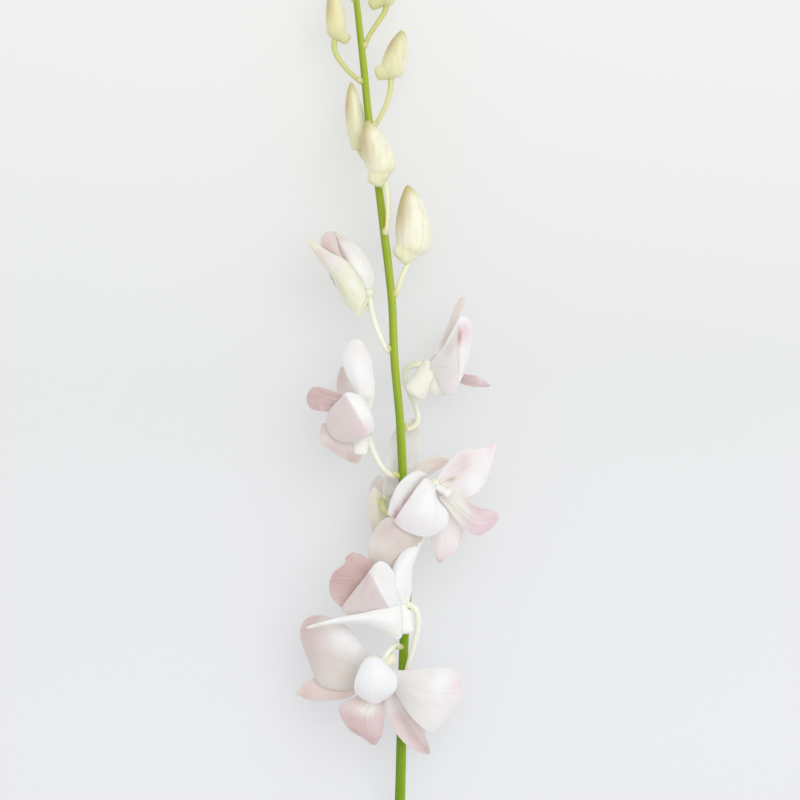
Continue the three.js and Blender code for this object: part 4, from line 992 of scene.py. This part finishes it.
# The fourth bloom is the widest open. Its throat is creamy yellow, a white petal stands over its left,
# and a bright veined pink lip juts to the right.
grow_bloom(
    "bloom_4",
    foot=(14.3, -35.3, 33),
    dorsal=outline(
        [(-1.1, 1.4, 0.7), (-7.2, 5.9, 5), (-15.1, 0, 6), (-18.1, -6.3, 5.5), (-19.8, -12.6, 3)],
        [(-0.7, 1, 0.8), (-5.5, 5.1, 6), (-13, -1.2, 7), (-16, -7.5, 6), (-18.5, -13.4, 3)],
        [(0, 0, 1), (-3.8, 3.8, 4), (-8.6, -6.2, 3), (-12.6, -11.8, 3), (-16.2, -15.4, 2)],
        # The crimson, plum, mauve and lilac down its right side are painted shadow in the crease under the
        # left petal, deepening into the pink of its tip.
        (ICE, 0.54, 0.25, 0.19, 0.3, 0.6), (CRIMSON, 0.88, 0.58, 0.13, 0.38, 0.8),
        (PLUM, 0.62, 0.65, 0.14, 0.24, 0.9), (MAUVE, 0.46, 0.78, 0.1, 0.23, 0.9),
        (LILAC, 0.32, 1, 0.05, 0.51, 0.7),
        tone=PEARL,
    ),
    left_petal=outline(
        [(-0.7, 1.4, 1), (-4.6, 2.5, 7.5), (-10.1, -5, 10), (-15.1, -12.2, 9), (-17.2, -15.9, 7)],
        [(-0.5, 1.1, 0.9), (-1.3, -3.3, 11), (-3, -10.9, 13), (-5.5, -16.8, 10.5), (-9.3, -20.6, 6)],
        [(0, 1.2, 1.4), (1.2, -5.4, 6.5), (5.9, -12.2, 8), (5, -17.6, 7), (-0.9, -21.8, 5)],
        (PINK, 0.82, -0.7, 0.32, 0.55, 0.8), (ROSE, 0.86, -0.95, 0.13, 0.19, 0.5),
        (BLUSH, 0.71, -0.1, 0.15, 0.36, 0.5), (ICE, 0.57, -0.75, 0.08, 0.29, 0.5),
        (MIST_SHADE, 0.48, 0.48, 0.18, 0.12, 0.45),
    ),
    right_petal=outline(
        [(0.4, 1.8, 0.5), (6.7, 10.5, 4), (12.6, 15.1, 5), (18.9, 14.7, 4), (25.2, 17.7, 2)],
        [(1.1, 1.1, 0), (8.4, 4.2, 2.5), (14.3, 7.2, 4), (20.1, 10.1, 3.5), (25.6, 16.8, 2)],
        [(1.9, -0.4, 0), (8, -7.1, 0), (14.7, -5.4, 2), (21, -0.4, 2), (26, 15.1, 2)],
        (LILAC, 0.42, -0.35, 0.21, 0.62, 0.8), (PINK, 0.64, -0.88, 0.1, 0.56, 0.5),
        (WHITE, 0.58, 0.6, 0.18, 0.39, 0.95), (WHITE, 0.19, 0.75, 0.19, 0.52, 0.95),
        # The bark near its base is a painted shadow in the slit where the petal meets the column.
        (BARK, 0.2, 0.18, 0.09, 0.12, 0.9), (ROSE, 0.93, -0.92, 0.06, 0.84, 0.9),
        (PEARL, 0.83, 0.55, 0.07, 0.4, 0.5),
        tone=BLUSH,
    ),
    left_lateral=outline(
        [(1.2, -1.2, -0.7), (8, -11.7, -2), (10.9, -20.1, -3), (9.2, -28.1, -4), (3.3, -32.7, -5)],
        [(0.4, -1.1, -1), (2.9, -11.7, -1.5), (4.2, -20.1, -1.5), (3.8, -27.3, -3), (2.5, -33.2, -5)],
        [(-0.4, -1.6, -1), (-2.1, -11.7, -2), (-1.7, -20.1, -2), (-0.4, -26.9, -3), (1.2, -32.7, -5)],
        (TAN, 0.72, 0.8, 0.19, 0.41, 0.7), (ROSE, 0.84, -0.52, 0.13, 0.85, 0.6),
        (BARK, 0.97, 0.28, 0.07, 0.84, 0.7), (PEARL, 0.49, 0.25, 0.09, 0.48, 0.5),
        tone=BLUSH,
    ),
    right_lateral=outline(
        [(1, -1.2, -1.1), (7.5, -9.2, -4), (10.9, -15.9, -6), (13.4, -21.8, -7)],
        [(0.5, -1, -1), (5.4, -10.9, -3), (8.8, -18, -5), (11.7, -25.2, -7)],
        [(0.4, -1.3, -1.3), (3.3, -12.2, -4.5), (6.7, -19.3, -6), (9.6, -26.4, -7)],
        (PEARL, 0.74, 0.3, 0.14, 1.31, 0.6),
        tone=BLUSH,
    ),
    lip=outline(
        [(2.4, 1.2, 3), (10.5, -2.8, 4.5), (16.8, -8.8, 7), (22.7, -10.1, 7), (26.4, -11.7, 5)],
        [(3.3, -2.9, 1), (9.4, -8.6, 3), (15.9, -14.3, 5), (21.4, -15.1, 5.5), (26.9, -13.8, 5)],
        [(1.8, -5.8, 1), (6.4, -11.3, 1.5), (12.2, -18.5, 3), (18.9, -21.4, 3), (25.6, -16.4, 4)],
        (CREAM, 0, 0, 0.36, 2.5, 1), (CREAM, 0.26, 0, 0.2, 2, 0.9), (BUTTER, 0.26, 0.3, 0.1, 0.6, 0.5),
        (PLUM, 0.51, -0.92, 0.25, 0.21, 0.6), (LILAC, 0.8, -0.9, 0.14, 0.62, 0.5),
        (MAUVE, 0.44, 0.38, 0.12, 0.32, 0.2), (PINK, 0.69, -0.07, 0.16, 0.56, 0.3),
        tone=ROSE,
    ),
    column=[(1, -1, 2), (6.8, -4, 6.4)], chin=[(-1, -1, -1), (-5, -8, -6)], chin_radii=(3.4, 2),
    ovary_tone=BUTTER,
)

# The fifth bloom looks to the left. One petal hangs down in a flap whose folded half is painted mauve shade,
# the dusty rose lip pokes out beyond it, and the far petal shows as a narrow spike.
grow_bloom(
    "bloom_5",
    foot=(-14.3, -10.9, 30),
    dorsal=outline(
        [(-0.3, 1.9, 0.3), (-3.8, 13, 3), (-7.6, 20.1, 3), (-9.9, 27.5, 2), (-8, 35, -1)],
        [(0.2, 1.4, 0.5), (-1.2, 13.8, 4), (-2.9, 21.8, 5.5), (-3.8, 29.4, 4.5), (-4.2, 36.5, 0)],
        [(0.7, 1.7, 0.3), (3.8, 13.4, 2), (3.4, 21.8, 2), (2.1, 29.4, 1), (-0.8, 34.8, -1)],
        (BLUSH, 0.86, -0.07, 0.18, 0.96, 0.7), (WHITE, 0.44, 0.1, 0.2, 1.08, 0.7),
        (CREAM, 0.22, 0.2, 0.09, 1.05, 0.8), (TAN, 0.19, 0.48, 0.03, 0.36, 0.7),
        tone=PEARL,
    ),
    left_petal=outline(
        [(0.7, 1.3, 1.2), (-0.4, 10.9, 9), (-7.5, 14.3, 12), (-12.2, 10.1, 10), (-16.4, 5.4, 7)],
        [(0.9, 0.4, 1.1), (2.5, 4.6, 10), (-3.8, 6.3, 15), (-9.6, 2.1, 12), (-15.9, -1.7, 7)],
        [(1.2, -1.2, 0.7), (3.8, -2.1, 4), (0, -4.2, 10), (-5.4, -6.7, 8), (-11.3, -6.7, 6)],
        (CREAM, 0.38, 0.03, 0.17, 0.55, 0.5),
        crease=0.3, panels=[(LILAC, (0.56, -0.92), (0.47, 0.73), 0.97)],
        over=[
            (ROSE, 0.53, 0.75, 0.16, 0.32, 0.8), (TAUPE, 0.85, -0.05, 0.17, 0.63, 0.6),
            (TAUPE, 0.82, 0.73, 0.13, 0.37, 0.4),
        ],
    ),
    right_petal=outline(
        [(-0.8, 1.7, -0.4), (-8.4, 10.1, -9), (-12.6, 15.5, -20), (-11.7, 23.9, -29.6)],
        [(-0.3, 0.8, -1.2), (-5.9, 9.6, -11), (-9.6, 15.9, -21), (-10.5, 25.2, -29.6)],
        [(0.4, 1.6, -0.9), (-2.9, 10.9, -10), (-5.4, 17.2, -18), (-9.6, 23.9, -29.6)],
        # The far petal lies in shade, so its lilac and mauve are painted shade, with an olive tip of its
        # own.
        (MAUVE, 0.83, -0.7, 0.1, 1.25, 0.8), (OLIVE, 0.96, -0.1, 0.04, 0.63, 0.4),
        (MIST_SHADE, 0.65, 0.85, 0.12, 0.51, 0.8),
        tone=LILAC,
    ),
    left_lateral=outline(
        [(-3.8, -16, 0), (-8.4, -14.3, 1), (-13.8, -10.9, 2), (-18.9, -7.2, 2), (-19.3, -0.4, 1)],
        [(-2.5, -14.3, 0), (-8, -10.5, 3), (-12.2, -7.2, 3.5), (-15.9, -3.4, 3.5), (-18.5, 0.8, 1)],
        [(-1.7, -12.2, 1), (-6.3, -8, 3), (-9.6, -4.2, 4), (-13, -0.9, 3), (-17.2, 1.7, 1)],
        (SAND, 0.74, -0.32, 0.14, 0.63, 0.8), (BARK, 0.13, -0.57, 0.11, 0.82, 0.8),
        (MAUVE, 0.42, -0.52, 0.25, 0.32, 0.6),
        tone=LILAC,
    ),
    right_lateral=outline(
        [(-1.2, -9.6, 0.7), (-7, -11.4, -3.7), (-12.1, -11, -10.1),
         (-14.9, -9.6, -17.7), (-15.4, -6.2, -24.9)],
        [(0, -7, -2), (-3.8, -9.5, -7.1), (-7.5, -10.4, -12.9), (-11.2, -9.4, -19), (-15, -6, -25)],
        [(0.2, -3.9, -4.3), (-1.6, -4.7, -10.1), (-4.3, -5.3, -15), (-8.1, -5.8, -19.7), (-14.6, -5.7, -25)],
        tone=LILAC,
    ),
    lip=outline(
        [(-4.2, 8.8, 3), (-9.6, 13, 5), (-13.8, 14.7, 6), (-19.3, 16.4, 6), (-22.7, 16.4, 5)],
        [(-3.8, 6.7, 2), (-9.2, 9.2, 4), (-14.3, 10.5, 5), (-19.3, 11.3, 5.5), (-24.8, 11.3, 4)],
        [(-3.8, 5, 3), (-8.8, 6.7, 4), (-14.7, 5.9, 5), (-18.9, 6.3, 5), (-22.7, 6.7, 4)],
        (BRICK, 0.51, -0.15, 0.16, 0.76, 0.25), (LILAC, 0.39, -0.07, 0.1, 0.54, 0.6),
        (MAUVE, 0.91, -0.1, 0.11, 0.5, 0.5),
        tone=PLUM,
    ),
    column=[(-1, 1, 0), (-7, 3.5, 0)], chin=[(-0.8, -0.6, 0), (-3, -12.6, -0.4)], chin_radii=(4.2, 4),
    ovary_tone=CREAM,
)

# The sixth bloom looks to the right and is seen from its side, with a blunt cream chin, a crimson painted
# shadow on its far petal where the near petal and the top sepal shade it, and the end of its lip in a point.
grow_bloom(
    "bloom_6",
    foot=(11.8, 14.3, 30),
    dorsal=outline(
        [(0.5, 1.7, 0.6), (4.6, 8.8, 2), (8.1, 17, 2), (10.8, 24.4, 1), (13.4, 28.5, -1)],
        [(0.8, 1, 0.2), (6.4, 7.8, 1.6), (9.8, 15.9, 2), (12.6, 23.1, 1.2), (14.7, 29, -0.6)],
        [(1.8, 0.7, 0), (8.2, 6.3, 0.6), (11.6, 14.4, 0.8), (14.2, 21.6, 0.4), (15.9, 27.7, -1)],
        (TAN, 0.91, 0.5, 0.08, 1.05, 0.8), (WHITE, 0.45, 1, 0.4, 0.5, 0.9),
        (CREAM, 0.17, -0.8, 0.08, 1.26, 0.8),
        tone=TAUPE,
    ),
    left_petal=outline(
        [(0, 1.8, -0.8), (4.5, 7.5, -6.9), (9.4, 12.9, -13.6), (13, 15, -21.6), (16, 3.9, -30.9)],
        [(0, 0, -1), (4.4, 0.8, -7.7), (9.1, 1.5, -14.9), (13.3, 2.2, -22.7), (16, 3, -31)],
        [(0.5, -1.8, -0.9), (5.9, -5.8, -7.4), (12.1, -7.6, -14.2), (16.2, -5.4, -22.2), (16.3, 2.1, -31)],
        # The crimson and rose near its edge are painted shadow cast by the near petal.
        (CRIMSON, 0.71, -0.8, 0.18, 0.14, 0.9), (ROSE, 0.81, -1, 0.07, 0.23, 0.7),
        (MAUVE, 0.65, 0.03, 0.29, 0.08, 0.5), (PEARL, 0.94, -1, 0.06, 0.75, 0.4),
        tone=BLUSH,
    ),
    right_petal=outline(
        [(0.4, 1.1, 1.5), (5, 6.3, 7), (9.2, 13, 11), (13, 20.1, 13), (18, 19.7, 11)],
        [(0.6, 0, 1.4), (6.7, -1.3, 9), (11.3, 1.7, 13.5), (14.2, 8.4, 13.5), (18, 9.6, 10)],
        [(0.6, -1, 1.5), (5.4, -10.5, 6), (10.5, -11.8, 10), (13.4, -6.3, 12), (15.1, -3, 10)],
        (TAUPE, 0.43, -0.65, 0.17, 0.24, 0.6), (BLUSH, 0.33, 0.25, 0.16, 0.32, 0.7),
        (PINK, 0.44, 0.7, 0.17, 0.26, 0.9), (SAND, 0.12, 0.23, 0.09, 0.49, 0.8),
        (IVORY, 0.09, 1, 0.05, 0.55, 0.9),
        # Its grey body is painted shade. The pearl panel past the fold is painted light where it faces the
        # lamp, the crimson is painted shadow, and the white along its left edge is a painted highlight.
        tone=MIST_SHADE, crease=0.2, panels=[(PEARL, (0.72, -0.98), (0.68, 0.9), 0.97)],
        over=[
            (ROSE, 0.8, -0.42, 0.19, 0.36, 0.9), (CRIMSON, 0.68, -0.42, 0.07, 0.21, 1),
            (CRIMSON, 0.68, -0.38, 0.04, 0.14, 0.6), (MAUVE, 0.59, 0.23, 0.02, 0.43, 0.8),
            (WHITE, 0.5, -1, 0.35, 0.12, 0.95),
        ],
    ),
    left_lateral=outline(
        [(-0.7, 0.9, -4.5), (-0.4, 0.1, -9.5), (1.5, -1.1, -14), (4.4, -3.6, -18.5), (9.7, -6.7, -22.1)],
        [(-1, -2, -2), (1.1, -4.8, -6.4), (3.9, -6.5, -11.4), (7, -7.1, -16.8), (10, -7, -22)],
        [(-0.2, -4.6, 0.7), (3.9, -8.9, -3), (8, -10.3, -8.3), (10.5, -9.7, -14.7), (10.3, -7.2, -21.8)],
        tone=BLUSH,
    ),
    right_lateral=outline(
        [(0.8, -0.4, 1), (5, -3.4, 4), (8.4, -5.9, 6), (10.5, -9.3, 6)],
        [(0.8, -0.9, 1), (2.5, -6.3, 4), (5.4, -9.3, 4.5), (8.8, -11.4, 4)],
        [(0.4, -1.3, 0), (-0.5, -8.4, 2), (2.1, -11.8, 2), (6.7, -12.6, 2)],
        (MIST_SHADE, 0.26, 0.38, 0.15, 0.79, 0.5),
        tone=IVORY,
    ),
    lip=outline(
        [(3.3, 0, 3), (10, -0.9, 5), (15.1, -3.4, 6), (20.1, -4.2, 6), (25.6, -7.6, 5)],
        [(3.3, -1.3, 1.5), (10, -3, 4), (15.5, -5.5, 5), (20.5, -6.7, 5.5), (26, -8.4, 5)],
        [(3.3, -3, 2), (9.2, -5.1, 3), (15.1, -8, 4), (20.5, -8.8, 4.5), (25.2, -8.8, 5)],
        (LILAC, 0.84, -0.48, 0.12, 1.44, 0.8),
        tone=MAUVE,
    ),
    column=[(1, 0, 0), (8, -1, 1)], chin=[(1.2, -1.4, 0), (-7, -13, 1)], chin_radii=(4.6, 5.2),
    ovary_tone=IVORY,
)

# The top bloom has only begun to open. Its sepals still stand close round the brown-pink petals, so no
# lip or column shows yet.
grow_bloom(
    "bloom_7",
    foot=(-13, 45, 30),
    dorsal=outline(
        [(1.2, 0.8, 0), (2.9, 6.2, 1), (-0.9, 14.6, 2), (-6.7, 20.9, 1), (-14.1, 26.6, -1.1)],
        [(-0.2, 0.6, 1.4), (-3, 7.9, 6.5), (-6.7, 14.2, 6.5), (-10.5, 20.1, 4), (-14.7, 26.4, -1)],
        [(-1.5, 0.9, 0.7), (-5.5, 7.1, 3), (-9.7, 13, 3), (-12.2, 18.8, 2), (-15.3, 26.2, -0.9)],
        (BLUSH, 0.64, 0, 0.18, 0.9, 1), (TAN, 0.86, 0.23, 0.1, 1.89, 0.95),
        (TAN, 0.61, 0.6, 0.17, 0.39, 0.7), (BUTTER, 0.14, 1, 0.1, 1.41, 0.5),
        (WHITE, 0.33, -0.72, 0.11, 0.52, 0.6),
        tone=CREAM,
    ),
    left_petal=outline(
        [(-1.3, 1.2, 0), (-8.8, 7.5, 1), (-16.4, 15.5, 1.5), (-20.2, 20.5, 1), (-18.5, 25.6, -1)],
        [(-0.9, 1.1, 0.5), (-7.2, 8.8, 3), (-13.9, 16.3, 3.5), (-16.8, 20.9, 3), (-16.8, 25.6, 0)],
        [(-0.4, 1.6, 0), (-5.5, 9.6, 1.5), (-11.4, 17.2, 2.5), (-13.5, 22.2, 2), (-14.7, 26, -1)],
        (BARK, 0.69, -0.38, 0.15, 0.86, 0.5), (LILAC, 0.76, 0.62, 0.11, 0.59, 0.35),
        (SAND, 0.45, -1, 0.07, 1.17, 0.7),
        tone=TAN,
    ),
    right_petal=outline(
        [(-2.9, -0.2, -0.3), (-9, 5.8, -0.6), (-13.1, 12.3, -0.1), (-15.5, 18.5, -0.1), (-15.3, 26.2, 0.1)],
        [(-1, 1, -1), (-4.9, 7.7, -1.9), (-8, 14.6, -1.9), (-11.1, 21.1, -1.2), (-15, 26.5, 0)],
        [(0.4, 2.3, 0.3), (-1.6, 8.5, 0.5), (-4.9, 14.3, 1.2), (-9.2, 20.2, 1.2), (-15, 26.2, 0.1)],
        (TAN, 0.78, -0.9, 0.1, 0.47, 0.6),
        tone=BLUSH,
    ),
    left_lateral=outline(
        [(-0.6, -0.3, 1.8), (-4.2, 7, 5), (-9, 13.1, 6), (-16, 16.8, 4), (-25.2, 22.6, 0)],
        [(-2.1, -4.8, 3), (-8.4, 1.2, 6), (-13.9, 9.6, 6), (-19.3, 15.1, 4), (-26.1, 22.2, 0)],
        [(-4.3, -10.2, 1.2), (-10.1, -4.3, 1), (-14.7, 5, 1), (-20.2, 12.5, 1), (-26.1, 21.4, 0)],
        # Its butter and olive are partly its own yellow-green and partly painted shade.
        (BLUSH, 0.64, -0.38, 0.21, 0.73, 0.95), (TAN, 0.76, -0.1, 0.11, 0.84, 0.7),
        (LIME, 0.96, -0.48, 0.04, 0.84, 0.8), (OLIVE, 0.34, 0.4, 0.12, 0.3, 0.3),
        (LIME, 0.17, 0.62, 0.1, 0.58, 0.5), (CREAM, 0.2, -0.42, 0.15, 0.25, 0.7),
        tone=BUTTER,
    ),
    right_lateral=outline(
        [(-6.4, -7, 0.6), (-11.6, -0.9, -3.2), (-15.5, 5.2, -4.2), (-18.7, 13.1, -4.3), (-20.3, 23.7, -1.8)],
        [(-3, -7, -1), (-6.6, 0.5, -6.1), (-10.9, 7.9, -7.7), (-15.5, 15.6, -6.2), (-20, 24, -2)],
        [(0, -4.9, -0.1), (-2.1, 3.7, -4.5), (-6, 10.9, -5.4), (-11.5, 17.3, -4.4), (-19.6, 24.1, -1.9)],
        tone=BUTTER,
    ),
    chin=[(-1, -1, -0.5), (-4.9, -9.8, -0.5)], chin_radii=(2.6, 1.5), ovary_tone=BUTTER,
)

# The buds are three cream sepals shut edge to edge, drawn to a green point, with a box-like pale green
# chin at the foot. They get smaller and greener towards the tip of the stem. Each row is a bud's middle
# line from foot to point, its width, and where its chin ends.
BUDS = {
    "bud_1": (
        [(5.5, 60.3, 31), (5.6, 68.5, 31.5), (4.8, 79.8, 32.5), (2.9, 90.3, 33)],
        14.6,
        (-1, 58.9, 32.5),
    ),
    "bud_2": (
        [(-6.7, 94.1, 34), (-8.4, 100, 34.8), (-11.5, 108.5, 35.8), (-13.4, 117.2, 36)],
        12.6,
        (-11, 89.6, 35.2),
    ),
    "bud_3": (
        [(-17.6, 108.5, 20.5), (-18.5, 115.5, 21), (-19.8, 125, 22), (-20.6, 134.4, 22.5)],
        8.2,
        (-18.5, 105.2, 22),
    ),
    "bud_4": (
        [(-3.8, 135.2, 25), (-2.6, 141.5, 25.5), (-0.5, 149.1, 26), (0.8, 155.8, 26)],
        10,
        (-10.4, 136.8, 26),
    ),
    "bud_5": (
        [(-27.5, 152, 21), (-27, 158.5, 21), (-27.8, 167, 21), (-29.4, 174, 20.5)],
        8.2,
        (-21.6, 151.2, 21.5),
    ),
    "bud_6": (
        [(-5.9, 166.3, 18.5), (-6, 173, 18.5), (-7.4, 180.5, 18), (-9.2, 187.3, 17)],
        8.6,
        (-13, 166.3, 19),
    ),
    "bud_7": (
        [(-27, 184.8, 12.5), (-27.4, 190, 12), (-27.8, 196, 11.2), (-28.4, 201.6, 10.2)],
        6.8,
        (-23.9, 184, 13),
    ),
    "bud_8": (
        [(-14.3, 196.6, 9), (-14.3, 201, 8.6), (-14.5, 206, 8), (-14.8, 210, 7.2)],
        5.4,
        (-17, 196, 9.4),
    ),
    "bud_9": (
        [(-28.2, 207.5, 2.2), (-28.7, 210.5, 1.8), (-29.4, 213.5, 1.6), (-30, 216.5, 1.2)],
        4,
        (-26.4, 207, 2.4),
    ),
}
BUD_CREAM, BUD_FLUSH_AND_SHADE, BUD_TIP = tone(249, 248, 228), tone(211, 193, 150), tone(196, 188, 112)
BUD_CHIN, YOUNG_CHIN = np.array(tone(240, 240, 206)), np.array(tone(214, 215, 158))
YOUNG_BUD = tone(226, 219, 150)
BUDS_TURN_GREEN = (60, 190)
FLUSH_AND_SHADE_ZONE, TIP_ZONE, CHIN_ZONE = (0.25, 0.7), (0.74, 1), (0.05, 0.35)
CHIN_FROM, CHIN_FOOT, CHIN_END, BUD_VOXEL = 0.22, 0.4, 0.28, 0.028
SEPALS, SEAM_WIDTH, SEAM_DEPTH, EDGE_HEIGHT, LOBES = 3, 0.03, 0.05, 0.035, 0.05


def bud_outline_at(share):
    """Half the width of a bud along it, as a share of its greatest."""
    grow, close = 0.45, 0.8
    peak = grow / (grow + close)
    swell = (share**grow * (1 - share) ** close) / (peak**grow * (1 - peak) ** close)
    foot_width, narrowest = 0.6, 0.05
    foot = foot_width * (1 - share) ** 2
    return max(foot + (1 - foot) * swell, narrowest)


bud_skin, tree, where = new_material("waxy_bud_skin")
lines = mottle(tree, stretched(tree, where["Object"], (1, 0.1, 1)), 700.0)
line_share = share_between(tree, lines, 0.45, 0.75, 0.35)
finish_skin(
    tree,
    {
        "Base Color": mixed(tree, line_share, tint_of(tree), (*tone(208, 198, 140), 1)),
        "Roughness": 0.42,
        "Normal": relief(tree, lines, 0.3),
        "Specular IOR Level": 0.35,
        "Subsurface Weight": 0.35,
        "Subsurface Radius": (1, 0.8, 0.5),
        "Subsurface Scale": 0.001,
    },
)


def paint_bud(piece, axis, chin_tip, youth):
    """Cream, green at the tip and chin, and olive-tan on its upper left, a flush of its own deepened by
    painted shade away from the light on its right. A young bud is yellower, less so on its right, where
    painted light keeps it pale.
    """
    points = np.array([vertex.co for vertex in piece.data.vertices])
    shares = np.linspace(0, 1, 60)
    line = np.array([place(axis(share)) for share in shares])
    nearest = np.argmin(((points[:, None, :] - line[None]) ** 2).sum(2), axis=1)
    share, away = shares[nearest], (points - line[nearest]) * 1000
    radius = np.linalg.norm(away, axis=1) + 1e-6
    left = -away[:, 0] / radius
    chinward = np.array(Vector(chin_tip) - axis(0))
    chinward /= np.linalg.norm(chinward)
    to_chin = (away @ chinward) / radius
    colour = np.tile(np.array(BUD_CREAM), (len(points), 1))
    flush_and_shade = 0.95 * smooth_step(*FLUSH_AND_SHADE_ZONE, share) * smooth_step(-0.45 + 0.5 * (1 - share), 0.8, left)
    tip = 0.9 * smooth_step(*TIP_ZONE, share)
    chin = (1 - smooth_step(*CHIN_ZONE, share)) * (0.5 + 0.5 * smooth_step(0, 0.8, to_chin))
    young = np.full(len(points), 0.85 * youth) * (1 - 0.6 * smooth_step(0.1, 0.9, -left))
    chin_shade = BUD_CHIN + (YOUNG_CHIN - BUD_CHIN) * youth
    for shade, weight in ((YOUNG_BUD, young), (BUD_FLUSH_AND_SHADE, flush_and_shade), (BUD_TIP, tip), (chin_shade, chin)):
        colour += (np.array(shade) - colour) * weight[:, None]
    corners = np.empty(len(piece.data.loops), np.int32)
    piece.data.loops.foreach_get("vertex_index", corners)
    tint_corners(piece, colour[corners])


def bud_for(name, path, width, chin_tip):
    axis = line_through(path)

    def radius_at(share, turn):
        rounding = math.sqrt(1 - 0.9 * (1 - min(share / 0.2, 1)) ** 2)
        seam = ((turn + 0.3) / (2 * math.pi / SEPALS)) % 1
        to_seam = min(seam, 1 - seam)
        overlap = EDGE_HEIGHT * seam - SEAM_DEPTH * math.exp(-((to_seam / SEAM_WIDTH) ** 2))
        lobes = 1 + LOBES * math.cos(SEPALS * turn) + overlap
        return width / 2 * bud_outline_at(share) * rounding * lobes

    shell = rolled("shell", axis, radius_at, around=48, along=44)
    chin = chin_rod(axis(CHIN_FROM), chin_tip, (width * CHIN_FOOT, width * CHIN_END))
    piece = melt_together([shell, chin], BUD_VOXEL * width, f"{name}_closed")
    paint_bud(piece, axis, chin_tip, smooth_step(*BUDS_TURN_GREEN, axis(0).y))
    finish_piece(piece, name, bud_skin)


for name, bud in BUDS.items():
    bud_for(name, *bud)
